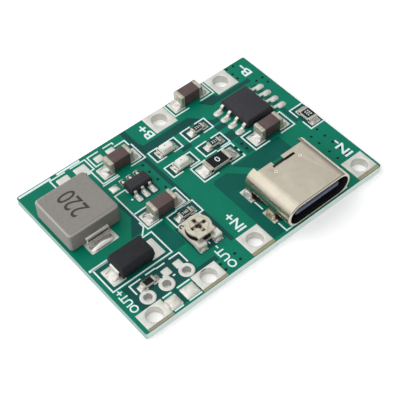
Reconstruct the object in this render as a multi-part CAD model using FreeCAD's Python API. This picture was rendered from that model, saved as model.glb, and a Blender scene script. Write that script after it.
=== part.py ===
"""Lithium battery charger module: a small green circuit board with its fitted pieces.

The board lies flat. The origin is the middle of its underside, +X runs along the long side,
to the right for someone who faces the charging socket's mouth, +Y points to the battery
edge, and +Z up. All sizes are in millimetres.
"""
import FreeCAD
import Part
import math
import os
from collections import namedtuple

# Board
board_length = 33.0
board_width = 23.0
board_thickness = 1.0
board_corner_radius = 0.25

# Layout grid: places on the board are steps from its front left corner
grid_columns = 33
grid_rows = 23

# Copper pads and plated holes
pad_thickness = 0.05
plating = 0.06
lining_sides = 24
end_chords = 6

# Terminal pads, one at the end of each wire
terminal_hole_radius = 0.93
battery_pad_length = 3.1
battery_pad_depth = 2.9
battery_hole_inset = 1.38
input_pad_length = 3.0
input_pad_depth = 2.6
input_pad_inset = 0.42
input_hole_inset = 1.6
output_pad_length = 3.2
output_pad_depth = 2.05
output_pad_inset = 0.32
output_hole_inset = 1.3

# Voltage option pads: three ringed holes, each joined to small square pads
option_hole_radius = 0.48
option_ring_radius = 0.88
option_clearance = 0.08
option_square = 1.0
option_square_step = 1.2
option_neck = 0.8
option_resistor_shift = 0.07

# Bridge pads, two that share the gap between the output pads
bridge_first_share = 0.46
bridge_pad_depth = 1.5
bridge_pad_inset = 0.42
bridge_near_gap = 0.05
bridge_middle_gap = 0.55
bridge_far_gap = 0.17
solder_dome_height = 0.28

# Vias, the small plated holes that join both faces of the board, drawn with few sides
via_radius = 0.15
via_sides = 8

# Spare square pads with no piece on them
spare_pad_length = 1.55
spare_pad_depth = 1.3
small_spare_length = 1.05
small_spare_depth = 0.95

# Chip capacitors
capacitor_length = 3.2
capacitor_width = 1.6
capacitor_height = 1.6
capacitor_band = 0.5
capacitor_pad_reach = 1.0
capacitor_pad_lap = 0.5
capacitor_pad_width = 1.8
battery_capacitor_clearance = 0.5
battery_capacitor_inset = 1.0
end_metal = 0.04
end_bevel = 0.1

# Chip resistors in three sizes, as length, width, height and end band
ResistorSize = namedtuple("ResistorSize", "length width height band pad_reach pad_lap pad_width")
small_resistor = ResistorSize(1.6, 0.8, 0.45, 0.3, 0.5, 0.35, 0.95)
medium_resistor = ResistorSize(2.0, 1.25, 0.5, 0.4, 0.45, 0.4, 1.35)
large_resistor = ResistorSize(3.2, 1.6, 0.6, 0.5, 1.0, 0.5, 1.7)
resistor_coat = 0.02

# Status lights
light_length = 2.0
light_width = 1.25
light_base_height = 0.38
light_lens_height = 0.42
light_lens_length = 1.4
light_lens_draft = 0.08
light_band = 0.22
light_pad_reach = 0.35
light_pad_lap = 0.4
light_pad_width = 1.2

# Coil, moulded round its winding
coil_side = 6.5
coil_height = 2.7
coil_bevel = 0.3
coil_corner = 0.35
coil_clip_width = 2.95
coil_clip_thickness = 0.15
coil_clip_stand_off = 0.22
coil_clip_exit_height = 1.0
coil_clip_foot = 1.2
coil_pad_width = 3.5
coil_pad_depth = 3.1
coil_pad_outer = 4.65
coil_solder_reach = 0.9

# Rectifier diode
diode_length = 4.3
diode_width = 2.6
diode_height = 2.0
diode_draft = 0.16
diode_exit_height = 1.05
diode_lead_width = 1.5
diode_lead_thickness = 0.16
diode_lead_out = 0.2
diode_lead_foot = 1.0
diode_pad_length = 1.7
diode_pad_width = 2.4
diode_pad_outer = 3.37
diode_solder_reach = 0.9

# Moulded chips with gull wing leads
ChipSize = namedtuple(
    "ChipSize",
    "width length height stand_off draft span pitch per_side lead_width lead_thickness foot"
    " pad_length pad_width pad_spread",
)
charger_chip = ChipSize(3.9, 4.75, 1.15, 0.1, 0.1, 6.0, 1.27, 4, 0.42, 0.2, 0.65, 1.25, 0.78, 6.3)
boost_chip = ChipSize(1.6, 2.9, 1.0, 0.08, 0.07, 2.8, 0.98, 3, 0.38, 0.15, 0.42, 1.15, 0.62, 2.7)
lead_bend = 0.14
lead_root = 0.25
lead_shoulder = 0.45

# Trimmer
trimmer_width = 3.1
trimmer_length = 3.7
trimmer_base_height = 0.5
trimmer_corner = 0.35
trimmer_notch_width = 0.95
trimmer_notch_depth = 0.35
trimmer_clip_thickness = 0.12
trimmer_clip_width = 1.05
trimmer_clip_top = 0.75
trimmer_clip_out = 0.14
trimmer_track_thickness = 0.03
trimmer_track_inner = 0.85
trimmer_track_outer = 1.4
trimmer_track_gap = 80.0
rotor_radius = 1.45
rotor_plate = 0.26
rotor_bevel = 0.07
rotor_tab_width = 2.24
rotor_tab_reach = 1.44
rotor_hub_radius = 0.72
rotor_hub_height = 0.44
rotor_slot_width = 0.34
rotor_slot_length = 1.56
rotor_slot_depth = 0.3
rotor_socket_radius = 0.34
rotor_lift = 0.05
wiper_radius = 0.13
wiper_reach = 1.12
wiper_gap = 0.02
rivet_radius = 0.34
rivet_clearance = 0.04
rivet_head_radius = 0.58
rivet_head_height = 0.12
rivet_head_clearance = 0.08

# Charging socket, in the middle between the input pads but for its offset
socket_offset = 0.1
socket_width = 8.94
socket_height = 3.16
socket_length = 6.95
socket_wall = 0.3
socket_setback = 0.1
socket_lip = 0.08
socket_leg_width = 1.1
socket_leg_front = 2.75
socket_leg_rear = 6.45
socket_leg_clearance = 0.1
socket_leg_pad = 0.32
socket_slot_width = 3.07
socket_slot_depth = 0.33
socket_slot_inset = 1.12
socket_notch_left = 1.24
socket_notch_right = 0.14
socket_shoulder_start = 3.2
socket_shoulder_depth = 0.6
socket_dimple_side = 0.4
socket_dimple_spread = 1.75
socket_dimple_inset = 1.95
socket_dimple_depth = 0.06
socket_floor_open = 1.5
housing_length = 1.5
housing_inset = 0.25
tongue_width = 6.3
tongue_thickness = 0.7
tongue_setback = 0.65
tongue_tip = 0.18
contact_thickness = 0.1
contact_width = 0.5
contact_inset = 0.9
contact_spots = (-2.75, -1.52, -0.5, 0.5, 1.52, 2.75)
contact_tail_out = 0.55
contact_tail_height = 0.4
contact_pad_length = 0.95
contact_pad_width = 0.75
contact_pad_heel = 0.12

# Solder
solder_rise = 0.55
solder_sag = 0.3
solder_margin = 0.08

# Places on the layout grid, as columns and rows
coil_place = (3.5, 16.1)
coil_pads_place = (3.5, 15.9)
diode_place = (4.25, 7.75)
diode_pads_place = (4.37, 7.75)
boost_place = (11.05, 15.5)
charger_place = (27.45, 16.08)
charger_pads_place = (27.85, 16.0)
trimmer_place = (11.9, 6.15)
capacitor_places = ((11.38, 19.4), (11.03, 11.2), (27.13, 12.05))
light_places = ((16.62, 17.5), (16.62, 14.65))
small_resistor_places = ((21.2, 17.5), (21.2, 14.6), (12.4, 8.98))
option_resistor_column = 3.9
large_resistor_place = (19.7, 12.25)
edge_resistor_place = (32.1, 10.75)
battery_columns = (18.93, 28.23)
input_columns = (15.78, 31.22)
output_columns = (2.05, 9.17)
option_rings = ((2.85, (3.1,)), (5.3, (4.72, 6.18)), (7.92, (7.75,)))
spare_places = ((5.35, 21.38), (7.65, 21.38))
small_spare_places = ((10.15, 21.5), (11.83, 21.5), (8.8, 16.85))
via_places = (
    (13.25, 17.48), (13.23, 16.25), (13.25, 14.8), (13.22, 13.37),
    (30.1, 22.7), (31.04, 22.6), (30.1, 21.6), (30.1, 20.7),
    (31.5, 18.9), (32.4, 18.87), (32.4, 17.9),
    (22.7, 12.57), (22.7, 11.7), (23.6, 12.57), (23.6, 11.7),
    (7.6, 1.6), (7.6, 0.68), (11.0, 1.6), (11.0, 0.75), (12.0, 1.6), (13.0, 1.67), (13.0, 0.75),
    (30.16, 8.16), (30.16, 6.88), (30.16, 5.24), (30.16, 3.92),
    (31.43, 8.55), (31.43, 7.28), (31.43, 6.03), (31.45, 4.84), (31.43, 3.73),
)

# Levels
underside = 0.0
board_top = board_thickness
pad_top = board_top + pad_thickness
beyond = 1.0
tiny = 1e-6

UP = FreeCAD.Vector(0, 0, 1)


def column(steps):
    """X of a layout column."""
    return (steps / grid_columns - 0.5) * board_length


def row(steps):
    """Y of a layout row."""
    return (steps / grid_rows - 0.5) * board_width


def spot(place):
    """X and Y of a place on the layout grid."""
    return column(place[0]), row(place[1])


front_edge = row(0)
rear_edge = row(grid_rows)
option_y = front_edge + output_pad_inset + output_pad_depth + option_clearance + option_ring_radius
option_square_y = option_y + option_square_step


# Basic shapes
def block(x0, x1, y0, y1, z0, z1):
    """A box between two corners."""
    return Part.makeBox(x1 - x0, y1 - y0, z1 - z0, FreeCAD.Vector(x0, y0, z0))


def plate(length, width, z0, z1, x=0.0, y=0.0):
    """A box centred on a point of the plan."""
    return block(x - length / 2, x + length / 2, y - width / 2, y + width / 2, z0, z1)


def rod(radius, z0, z1, x=0.0, y=0.0):
    """An upright cylinder."""
    return Part.makeCylinder(radius, z1 - z0, FreeCAD.Vector(x, y, z0))


def prism(radius, sides, z0, z1, x=0.0, y=0.0):
    """An upright rod with flat sides, its corners on a circle."""
    turns = [2 * math.pi * number / sides for number in range(sides + 1)]
    corners = [(x + radius * math.cos(turn), y + radius * math.sin(turn)) for turn in turns]
    outline = Part.makePolygon([FreeCAD.Vector(a, b, z0) for a, b in corners])
    return Part.Face(outline).extrude(FreeCAD.Vector(0, 0, z1 - z0))


def upright_edges(shape):
    """The edges of a shape that run straight up."""
    return [e for e in shape.Edges if e.BoundBox.XLength < tiny and e.BoundBox.YLength < tiny]


def drafted_block(length, width, heights, draft):
    """A moulded block, widest at its parting line: heights are its bottom, parting line and top."""
    rings = []
    for height, inset in zip(heights, (draft, 0.0, draft)):
        x = length / 2 - inset
        y = width / 2 - inset
        corners = [(-x, -y), (x, -y), (x, y), (-x, y), (-x, -y)]
        rings.append(Part.makePolygon([FreeCAD.Vector(a, b, height) for a, b in corners]))
    return Part.makeLoft(rings, True, True)


def obround(length, width, z0, z1, x=0.0, y=0.0):
    """A plate with round ends, drawn in a few chords, its length along X."""
    radius = width / 2
    reach = length / 2 - radius
    corners = []
    for side in (-1, 1):
        for step in range(end_chords + 1):
            turn = math.pi * (step / end_chords - 0.5)
            along = side * (reach + radius * math.cos(turn))
            across = side * radius * math.sin(turn)
            corners.append(FreeCAD.Vector(x + along, y + across, z0))
    outline = Part.makePolygon(corners + corners[:1])
    return Part.Face(outline).extrude(FreeCAD.Vector(0, 0, z1 - z0))


def bent_strip(points, bend, thickness, width):
    """A flat strip folded along a path in the XZ plane and centred on Y, each bend in two chords."""
    path = [FreeCAD.Vector(x, 0, z) for x, z in points]
    runs = [(b - a).normalize() for a, b in zip(path, path[1:])]
    normals = [FreeCAD.Vector(-run.z, 0, run.x) for run in runs]

    def side(offset):
        stops = [path[0] + normals[0] * offset]
        for number, at in enumerate(path[1:-1]):
            turn = runs[number].getAngle(runs[number + 1])
            cut = bend * math.tan(turn / 2)
            inward = (runs[number + 1] - runs[number]).normalize()
            middle_normal = (normals[number] + normals[number + 1]).normalize()
            middle = at + inward * (bend / math.cos(turn / 2) - bend)
            stops.append(at - runs[number] * cut + normals[number] * offset)
            stops.append(middle + middle_normal * offset)
            stops.append(at + runs[number + 1] * cut + normals[number + 1] * offset)
        stops.append(path[-1] + normals[-1] * offset)
        return stops

    upper = side(thickness / 2)
    lower = side(-thickness / 2)
    outline = Part.makePolygon(upper + lower[::-1] + upper[:1])
    strip = Part.Face(outline).extrude(FreeCAD.Vector(0, width, 0))
    strip.translate(FreeCAD.Vector(0, -width / 2, 0))
    return strip


def mirrored(shape):
    """The same shape turned half round the upright axis."""
    turned = shape.copy()
    turned.rotate(FreeCAD.Vector(0, 0, 0), UP, 180)
    return turned


def put(shapes, at, quarter_turns=0):
    """Copies of shapes, turned and carried to an X and Y of the board."""
    moved = []
    for shape in shapes:
        copy = shape.copy()
        copy.rotate(FreeCAD.Vector(0, 0, 0), UP, 90 * quarter_turns)
        copy.translate(FreeCAD.Vector(at[0], at[1], 0))
        moved.append(copy)
    return moved


def solder_wedge(reach, rise, width):
    """Solder drawn up against an end face at X = 0, hollow on its free side."""
    crest = FreeCAD.Vector(0, -width / 2, pad_top + rise)
    corner = FreeCAD.Vector(0, -width / 2, pad_top)
    foot = FreeCAD.Vector(reach, -width / 2, pad_top)
    sag = FreeCAD.Vector(reach * solder_sag, -width / 2, pad_top + rise * solder_sag)
    outline = Part.makePolygon([crest, corner, foot, sag, crest])
    return Part.Face(outline).extrude(FreeCAD.Vector(0, width, 0))


def wedge_pair(end, reach, rise, width):
    """Two solder wedges, one against each end of a piece."""
    wedge = solder_wedge(reach - solder_margin, rise, width - 2 * solder_margin)
    wedge.translate(FreeCAD.Vector(end, 0, 0))
    return [wedge, mirrored(wedge)]


def pad_pair(end, reach, lap, width):
    """Two pads: each reaches past the end of a piece and laps under it."""
    pad = block(end - lap, end + reach, -width / 2, width / 2, board_top, pad_top)
    return [pad, mirrored(pad)]


# Plated holes
def plated_hole(pad, hole, lining):
    """A lined hole with a pad on each face of the board.

    pad and hole are functions of two heights; lining is the hole with room for its metal.
    """
    metal = pad(board_top, pad_top)
    metal = metal.fuse(lining(underside, board_top))
    metal = metal.fuse(pad(underside, pad_thickness))
    metal = metal.cut(hole(underside - beyond, pad_top + beyond))
    cut = lining(underside - beyond, board_top + beyond)
    cut = cut.fuse(pad(underside - beyond, pad_thickness))
    return metal.removeSplitter(), cut


def terminal(x, y, length, depth, hole_y):
    """A square solder pad with its wire hole."""
    return plated_hole(
        lambda low, high: plate(length, depth, low, high, x, y),
        lambda low, high: rod(terminal_hole_radius, low, high, x, hole_y),
        lambda low, high: prism(terminal_hole_radius + plating, lining_sides, low, high, x, hole_y),
    )


def terminals():
    """The six wire terminals, by name, and what they cut from the board."""
    rows = []
    for name, steps in zip(("battery_plus", "battery_minus"), battery_columns):
        pad_y = rear_edge - battery_pad_depth / 2
        hole_y = rear_edge - battery_hole_inset
        rows.append((name, steps, battery_pad_length, battery_pad_depth, pad_y, hole_y))
    for name, steps in zip(("input_plus", "input_minus"), input_columns):
        pad_y = front_edge + input_pad_inset + input_pad_depth / 2
        hole_y = front_edge + input_hole_inset
        rows.append((name, steps, input_pad_length, input_pad_depth, pad_y, hole_y))
    for name, steps in zip(("output_plus", "output_minus"), output_columns):
        pad_y = front_edge + output_pad_inset + output_pad_depth / 2
        hole_y = front_edge + output_hole_inset
        rows.append((name, steps, output_pad_length, output_pad_depth, pad_y, hole_y))
    made = {}
    cuts = []
    for name, steps, length, depth, pad_y, hole_y in rows:
        metal, cut = terminal(column(steps), pad_y, length, depth, hole_y)
        made["terminal_" + name] = [metal]
        cuts.append(cut)
    return made, cuts


def option_pads():
    """Three ringed holes, each joined by a neck to the square pads behind it."""
    metals = []
    cuts = []
    y = option_y
    square_y = option_square_y
    half = option_neck / 2
    for ring_steps, square_steps in option_rings:
        x = column(ring_steps)
        lining_radius = option_hole_radius + plating
        metal = rod(lining_radius, underside, pad_top, x, y)
        metal = metal.fuse(rod(option_ring_radius, board_top, pad_top, x, y))
        for steps in square_steps:
            square_x = column(steps)
            corners = [(x - half, y), (x + half, y), (square_x + half, square_y), (square_x - half, square_y)]
            outline = Part.makePolygon([FreeCAD.Vector(a, b, board_top) for a, b in corners + corners[:1]])
            neck = Part.Face(outline).extrude(FreeCAD.Vector(0, 0, pad_thickness))
            square = plate(option_square, option_square, board_top, pad_top, square_x, square_y)
            metal = metal.fuse([neck, square])
        hole = rod(option_hole_radius, underside - beyond, pad_top + beyond, x, y)
        metals.append(metal.cut(hole).removeSplitter())
        cuts.append(rod(lining_radius, underside - beyond, board_top + beyond, x, y))
    return metals, cuts


def bridge_pads():
    """The two bridge pads in the gap between the output pads, each with a low dome of solder."""
    plus, minus = output_columns
    start = column(plus) + output_pad_length / 2 + bridge_near_gap
    end = column(minus) - output_pad_length / 2 - bridge_far_gap
    split = start + (end - start - bridge_middle_gap) * bridge_first_share
    y = front_edge + bridge_pad_inset + bridge_pad_depth / 2
    pads = []
    domes = []
    for x0, x1 in ((start, split), (split + bridge_middle_gap, end)):
        x = (x0 + x1) / 2
        pads.append(plate(x1 - x0, bridge_pad_depth, board_top, pad_top, x, y))
        width = min(x1 - x0, bridge_pad_depth)
        radius = (width * width / 4 + solder_dome_height * solder_dome_height) / (2 * solder_dome_height)
        ball = Part.makeSphere(radius, FreeCAD.Vector(x, y, pad_top + solder_dome_height - radius))
        domes.append(ball.common(plate(width, width, pad_top, pad_top + radius, x, y)))
    return pads, domes


# Chip pieces with two ends
def end_caps(body, length, width, height, band, bevel):
    """The metal caps that wrap both ends of a chip piece."""
    cap = block(length / 2 - band, length / 2, -width / 2, width / 2, pad_top, pad_top + height)
    if bevel:
        outer = [e for e in cap.Edges if e.BoundBox.XMax > length / 2 - tiny]
        cap = cap.makeChamfer(bevel, outer)
    cap = cap.cut(body)
    return [cap, mirrored(cap)]


def capacitor(pad_reach):
    """One chip capacitor: its ceramic body, its end caps, pads and solder."""
    body = block(
        end_metal - capacitor_length / 2,
        capacitor_length / 2 - end_metal,
        end_metal - capacitor_width / 2,
        capacitor_width / 2 - end_metal,
        pad_top + end_metal,
        pad_top + capacitor_height - end_metal,
    )
    body = body.makeChamfer(end_bevel - end_metal, body.Edges)
    ends = end_caps(body, capacitor_length, capacitor_width, capacitor_height, capacitor_band, end_bevel)
    pads = pad_pair(capacitor_length / 2, pad_reach, capacitor_pad_lap, capacitor_pad_width)
    solder = wedge_pair(capacitor_length / 2, pad_reach, capacitor_height * solder_rise, capacitor_width)
    return [body], ends, pads, solder


def battery_capacitor_spot():
    """Where the capacitor between the battery pads stands, and how far its pads reach past its ends."""
    plus, minus = (column(steps) for steps in battery_columns)
    room = minus - plus - battery_pad_length
    reach = (room - capacitor_length) / 2 - battery_capacitor_clearance
    return ((plus + minus) / 2, rear_edge - battery_capacitor_inset), reach


def resistor(size):
    """One chip resistor: its body, wrapped ends, pads and solder."""
    body = block(
        end_metal - size.length / 2,
        size.length / 2 - end_metal,
        -size.width / 2,
        size.width / 2,
        pad_top + end_metal,
        pad_top + size.height - end_metal,
    )
    coat = plate(
        size.length - 2 * size.band,
        size.width,
        pad_top + size.height - end_metal,
        pad_top + size.height - end_metal + resistor_coat,
    )
    ends = end_caps(body, size.length, size.width, size.height, size.band, 0)
    pads = pad_pair(size.length / 2, size.pad_reach, size.pad_lap, size.pad_width)
    solder = wedge_pair(size.length / 2, size.pad_reach, size.height * solder_rise, size.width)
    return [body.fuse(coat).removeSplitter()], ends, pads, solder


def status_light():
    """One status light: base, lens, wrapped ends, pads and solder."""
    base = block(
        end_metal - light_length / 2,
        light_length / 2 - end_metal,
        -light_width / 2,
        light_width / 2,
        pad_top + end_metal,
        pad_top + light_base_height,
    )
    lens_bottom = pad_top + light_base_height
    lens_top = lens_bottom + light_lens_height
    lens_width = light_width - 2 * end_metal
    outlines = []
    for height, inset in ((lens_bottom, 0.0), (lens_top, light_lens_draft)):
        x = light_lens_length / 2 - inset
        y = lens_width / 2 - inset
        corners = [(-x, -y), (x, -y), (x, y), (-x, y), (-x, -y)]
        outlines.append(Part.makePolygon([FreeCAD.Vector(a, b, height) for a, b in corners]))
    lens = Part.makeLoft(outlines, True, True)
    lens = lens.makeChamfer(light_lens_draft, [e for e in lens.Edges if e.BoundBox.ZMin > lens_top - tiny])
    end = block(
        light_length / 2 - light_band,
        light_length / 2,
        -light_width / 2,
        light_width / 2,
        pad_top,
        pad_top + light_base_height,
    )
    end = end.cut(base)
    pads = pad_pair(light_length / 2, light_pad_reach, light_pad_lap, light_pad_width)
    solder = wedge_pair(light_length / 2, light_pad_reach, light_base_height * solder_rise, light_width)
    return [base], [lens], [end, mirrored(end)], pads, solder


# Coil
def coil():
    """The moulded coil with a bent clip at its front and rear, made with its clips along X."""
    lift = pad_top + coil_clip_thickness
    body = plate(coil_side, coil_side, lift, board_top + coil_height)
    body = body.makeChamfer(coil_corner, upright_edges(body))
    rim = [e for e in body.Edges if e.BoundBox.ZMin > board_top + coil_height - tiny]
    body = body.makeChamfer(coil_bevel, rim)
    half = coil_clip_thickness / 2
    end = coil_side / 2
    out = end + coil_clip_stand_off
    clip = bent_strip(
        [
            (end - lead_root, board_top + coil_clip_exit_height),
            (out, board_top + coil_clip_exit_height),
            (out, pad_top + half),
            (out - coil_clip_foot, pad_top + half),
        ],
        coil_clip_thickness,
        coil_clip_thickness,
        coil_clip_width,
    )
    clips = [clip, mirrored(clip)]
    body = body.cut(clips)
    pads = pad_pair(coil_pad_outer, 0, coil_pad_depth, coil_pad_width)
    solder = wedge_pair(out + half, coil_solder_reach, coil_clip_exit_height * solder_rise, coil_clip_width)
    return [body], clips, pads, solder


# Diode
def diode():
    """The rectifier diode with leads folded under its ends."""
    lift = pad_top + diode_lead_thickness
    exit_level = board_top + diode_exit_height
    body = drafted_block(diode_length, diode_width, (lift, exit_level, board_top + diode_height), diode_draft)
    half = diode_lead_thickness / 2
    out = diode_length / 2 + diode_lead_out - half
    lead = bent_strip(
        [
            (diode_length / 2 - lead_root, exit_level),
            (out, exit_level),
            (out, pad_top + half),
            (out - diode_lead_foot, pad_top + half),
        ],
        diode_lead_thickness,
        diode_lead_thickness,
        diode_lead_width,
    )
    leads = [lead, mirrored(lead)]
    body = body.cut(leads)
    pads = pad_pair(diode_pad_outer, 0, diode_pad_length, diode_pad_width)
    solder = wedge_pair(out + half, diode_solder_reach, diode_exit_height * solder_rise, diode_lead_width)
    return [body], leads, pads, solder


# Chips
def gull_wing_chip(size):
    """A moulded chip with a row of gull wing leads on each side, the rows along Y."""
    low = board_top + size.stand_off
    exit_level = low + size.height / 2
    body = drafted_block(size.width, size.length, (low, exit_level, low + size.height), size.draft)
    half = size.lead_thickness / 2
    toe = size.span / 2
    shoulder = size.width / 2 + (toe - size.foot - size.width / 2) * lead_shoulder
    shape = bent_strip(
        [
            (size.width / 2 - lead_root, exit_level),
            (shoulder, exit_level),
            (toe - size.foot, pad_top + half),
            (toe, pad_top + half),
        ],
        lead_bend,
        size.lead_thickness,
        size.lead_width,
    )
    first = -(size.per_side - 1) / 2 * size.pitch
    leads = []
    for number in range(size.per_side):
        lead = shape.copy()
        lead.translate(FreeCAD.Vector(0, first + number * size.pitch, 0))
        leads.append(lead)
        leads.append(mirrored(lead))
    body = body.cut(leads)
    return [body], leads


def chip_pads(size, round_ends):
    """The pads under a chip's leads."""
    middle = size.pad_spread / 2
    first = -(size.per_side - 1) / 2 * size.pitch
    pads = []
    for number in range(size.per_side):
        y = first + number * size.pitch
        for side in (-1, 1):
            if round_ends:
                pad = obround(size.pad_length, size.pad_width, board_top, pad_top, side * middle, y)
            else:
                pad = plate(size.pad_length, size.pad_width, board_top, pad_top, side * middle, y)
            pads.append(pad)
    return pads


# Trimmer
trimmer_floor = pad_top + trimmer_clip_thickness
trimmer_table = trimmer_floor + trimmer_base_height
rotor_floor = trimmer_table + rotor_lift
rotor_plate_floor = rotor_floor + rotor_hub_height
rotor_top = rotor_plate_floor + rotor_plate


def trimmer_base():
    """The ceramic base: notched in front, bored for the rivet and hollow under its head."""
    base = plate(trimmer_width, trimmer_length, trimmer_floor, trimmer_table)
    rear = [e for e in upright_edges(base) if e.BoundBox.YMin > 0]
    base = base.makeChamfer(trimmer_corner, rear)
    notch = block(
        -trimmer_notch_width / 2,
        trimmer_notch_width / 2,
        -trimmer_length / 2 - beyond,
        -trimmer_length / 2 + trimmer_notch_depth,
        trimmer_floor - beyond,
        trimmer_table + beyond,
    )
    bore = rod(rivet_radius + rivet_clearance, trimmer_floor - beyond, trimmer_table + beyond)
    hollow = rod(
        rivet_head_radius + rivet_head_clearance,
        trimmer_floor - beyond,
        trimmer_floor + rivet_head_height + rivet_head_clearance,
    )
    return base.cut([notch, bore, hollow])


def trimmer_track():
    """The horseshoe of resistive film on the base, open towards the front."""
    ring = rod(trimmer_track_outer, trimmer_table, trimmer_table + trimmer_track_thickness)
    ring = ring.cut(rod(trimmer_track_inner, trimmer_table - beyond, trimmer_table + beyond))
    gap = Part.makeCylinder(
        trimmer_track_outer + beyond,
        2 * beyond,
        FreeCAD.Vector(0, 0, trimmer_table - beyond),
        UP,
        trimmer_track_gap,
    )
    gap.rotate(FreeCAD.Vector(0, 0, 0), UP, -90 - trimmer_track_gap / 2)
    return ring.cut(gap)


def trimmer_clips(track):
    """Two front clips that grip the base and meet the track, and one under its rear edge."""
    half = trimmer_clip_thickness / 2
    out = trimmer_length / 2 + trimmer_clip_out
    front = bent_strip(
        [
            (trimmer_length / 2 - trimmer_clip_top, trimmer_table + half),
            (out, trimmer_table + half),
            (out, pad_top + half),
            (trimmer_length / 2 - trimmer_clip_top, pad_top + half),
        ],
        trimmer_clip_thickness,
        trimmer_clip_thickness,
        trimmer_clip_width,
    )
    front.rotate(FreeCAD.Vector(0, 0, 0), UP, -90)
    spread = (trimmer_width - trimmer_clip_width) / 2
    clips = []
    for side in (-1, 1):
        clip = front.copy()
        clip.translate(FreeCAD.Vector(side * spread, 0, 0))
        clips.append(clip.cut(track))
    rear = block(
        -trimmer_clip_width / 2,
        trimmer_clip_width / 2,
        rivet_head_radius + 2 * rivet_head_clearance,
        trimmer_length / 2,
        pad_top,
        trimmer_floor,
    )
    clips.append(rear)
    return clips


def trimmer_rotor():
    """The turning plate with its hub, screwdriver cross and wiper foot."""
    profile = [
        (0, rotor_floor),
        (rotor_hub_radius, rotor_floor),
        (rotor_hub_radius, rotor_plate_floor),
        (rotor_radius, rotor_plate_floor),
        (rotor_radius, rotor_top),
        (0, rotor_top),
        (0, rotor_floor),
    ]
    outline = Part.makePolygon([FreeCAD.Vector(r, 0, z) for r, z in profile])
    turned = Part.Face(outline).revolve(FreeCAD.Vector(0, 0, 0), UP, 360)
    tab = block(
        -rotor_tab_width / 2,
        rotor_tab_width / 2,
        -rotor_tab_reach,
        0,
        rotor_plate_floor,
        rotor_top,
    )
    rotor = turned.fuse(tab).removeSplitter()
    rim = [e for e in rotor.Edges if e.BoundBox.ZMin > rotor_top - tiny]
    rotor = rotor.makeChamfer(rotor_bevel, rim)
    slot_floor = rotor_top - rotor_slot_depth
    cross = [
        plate(rotor_slot_length, rotor_slot_width, slot_floor, rotor_top + beyond),
        plate(rotor_slot_width, rotor_slot_length, slot_floor, rotor_top + beyond),
        rod(rotor_socket_radius, rotor_top - rotor_plate - rotor_hub_height / 2, rotor_top + beyond),
    ]
    rotor = rotor.cut(cross)
    foot = rod(
        wiper_radius,
        trimmer_table + trimmer_track_thickness + wiper_gap,
        rotor_plate_floor,
        0,
        wiper_reach,
    )
    return rotor.fuse(foot).removeSplitter()


def trimmer_rivet():
    """The rivet that holds the rotor down and turns with it."""
    head_floor = trimmer_floor
    head = rod(rivet_head_radius, head_floor, head_floor + rivet_head_height)
    shank = rod(rivet_radius, head_floor + rivet_head_height, rotor_floor)
    return head.fuse(shank).removeSplitter()


def trimmer_pads():
    """Pads under the trimmer's three clips."""
    spread = (trimmer_width - trimmer_clip_width) / 2
    front = -trimmer_length / 2 - 2 * trimmer_clip_out - trimmer_clip_thickness
    middle = front + trimmer_clip_top / 2
    pads = [
        plate(trimmer_clip_width, trimmer_clip_top, board_top, pad_top, side * spread, middle)
        for side in (-1, 1)
    ]
    pads.append(
        block(
            -trimmer_clip_width / 2,
            trimmer_clip_width / 2,
            rivet_head_radius + 2 * rivet_head_clearance,
            trimmer_length / 2,
            board_top,
            pad_top,
        )
    )
    return pads


# Charging socket, with its mouth at the front edge of the board
socket_x = (column(input_columns[0]) + column(input_columns[1])) / 2 + socket_offset
socket_front = front_edge + socket_setback
socket_rear = socket_front + socket_length
socket_middle = board_top + socket_height / 2


def socket_section(width, height, y0, y1, bottom):
    """A bar of the socket's section: flat above and below, round at the sides."""
    radius = height / 2
    reach = width / 2 - radius
    level = bottom + radius
    corners = [
        FreeCAD.Vector(socket_x - reach, y0, level - radius),
        FreeCAD.Vector(socket_x + reach, y0, level - radius),
        FreeCAD.Vector(socket_x + reach, y0, level + radius),
        FreeCAD.Vector(socket_x - reach, y0, level + radius),
    ]
    right = FreeCAD.Vector(socket_x + reach + radius, y0, level)
    left = FreeCAD.Vector(socket_x - reach - radius, y0, level)
    edges = [
        Part.makeLine(corners[0], corners[1]),
        Part.Arc(corners[1], right, corners[2]).toShape(),
        Part.makeLine(corners[2], corners[3]),
        Part.Arc(corners[3], left, corners[0]).toShape(),
    ]
    return Part.Face(Part.Wire(edges)).extrude(FreeCAD.Vector(0, y1 - y0, 0))


def socket_legs():
    """Where the shell's four legs stand, as X of the outer side, the side's sign and Y."""
    places = []
    for side in (-1, 1):
        for along in (socket_leg_front, socket_leg_rear):
            places.append((socket_x + side * socket_width / 2, side, front_edge + along))
    return places


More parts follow.
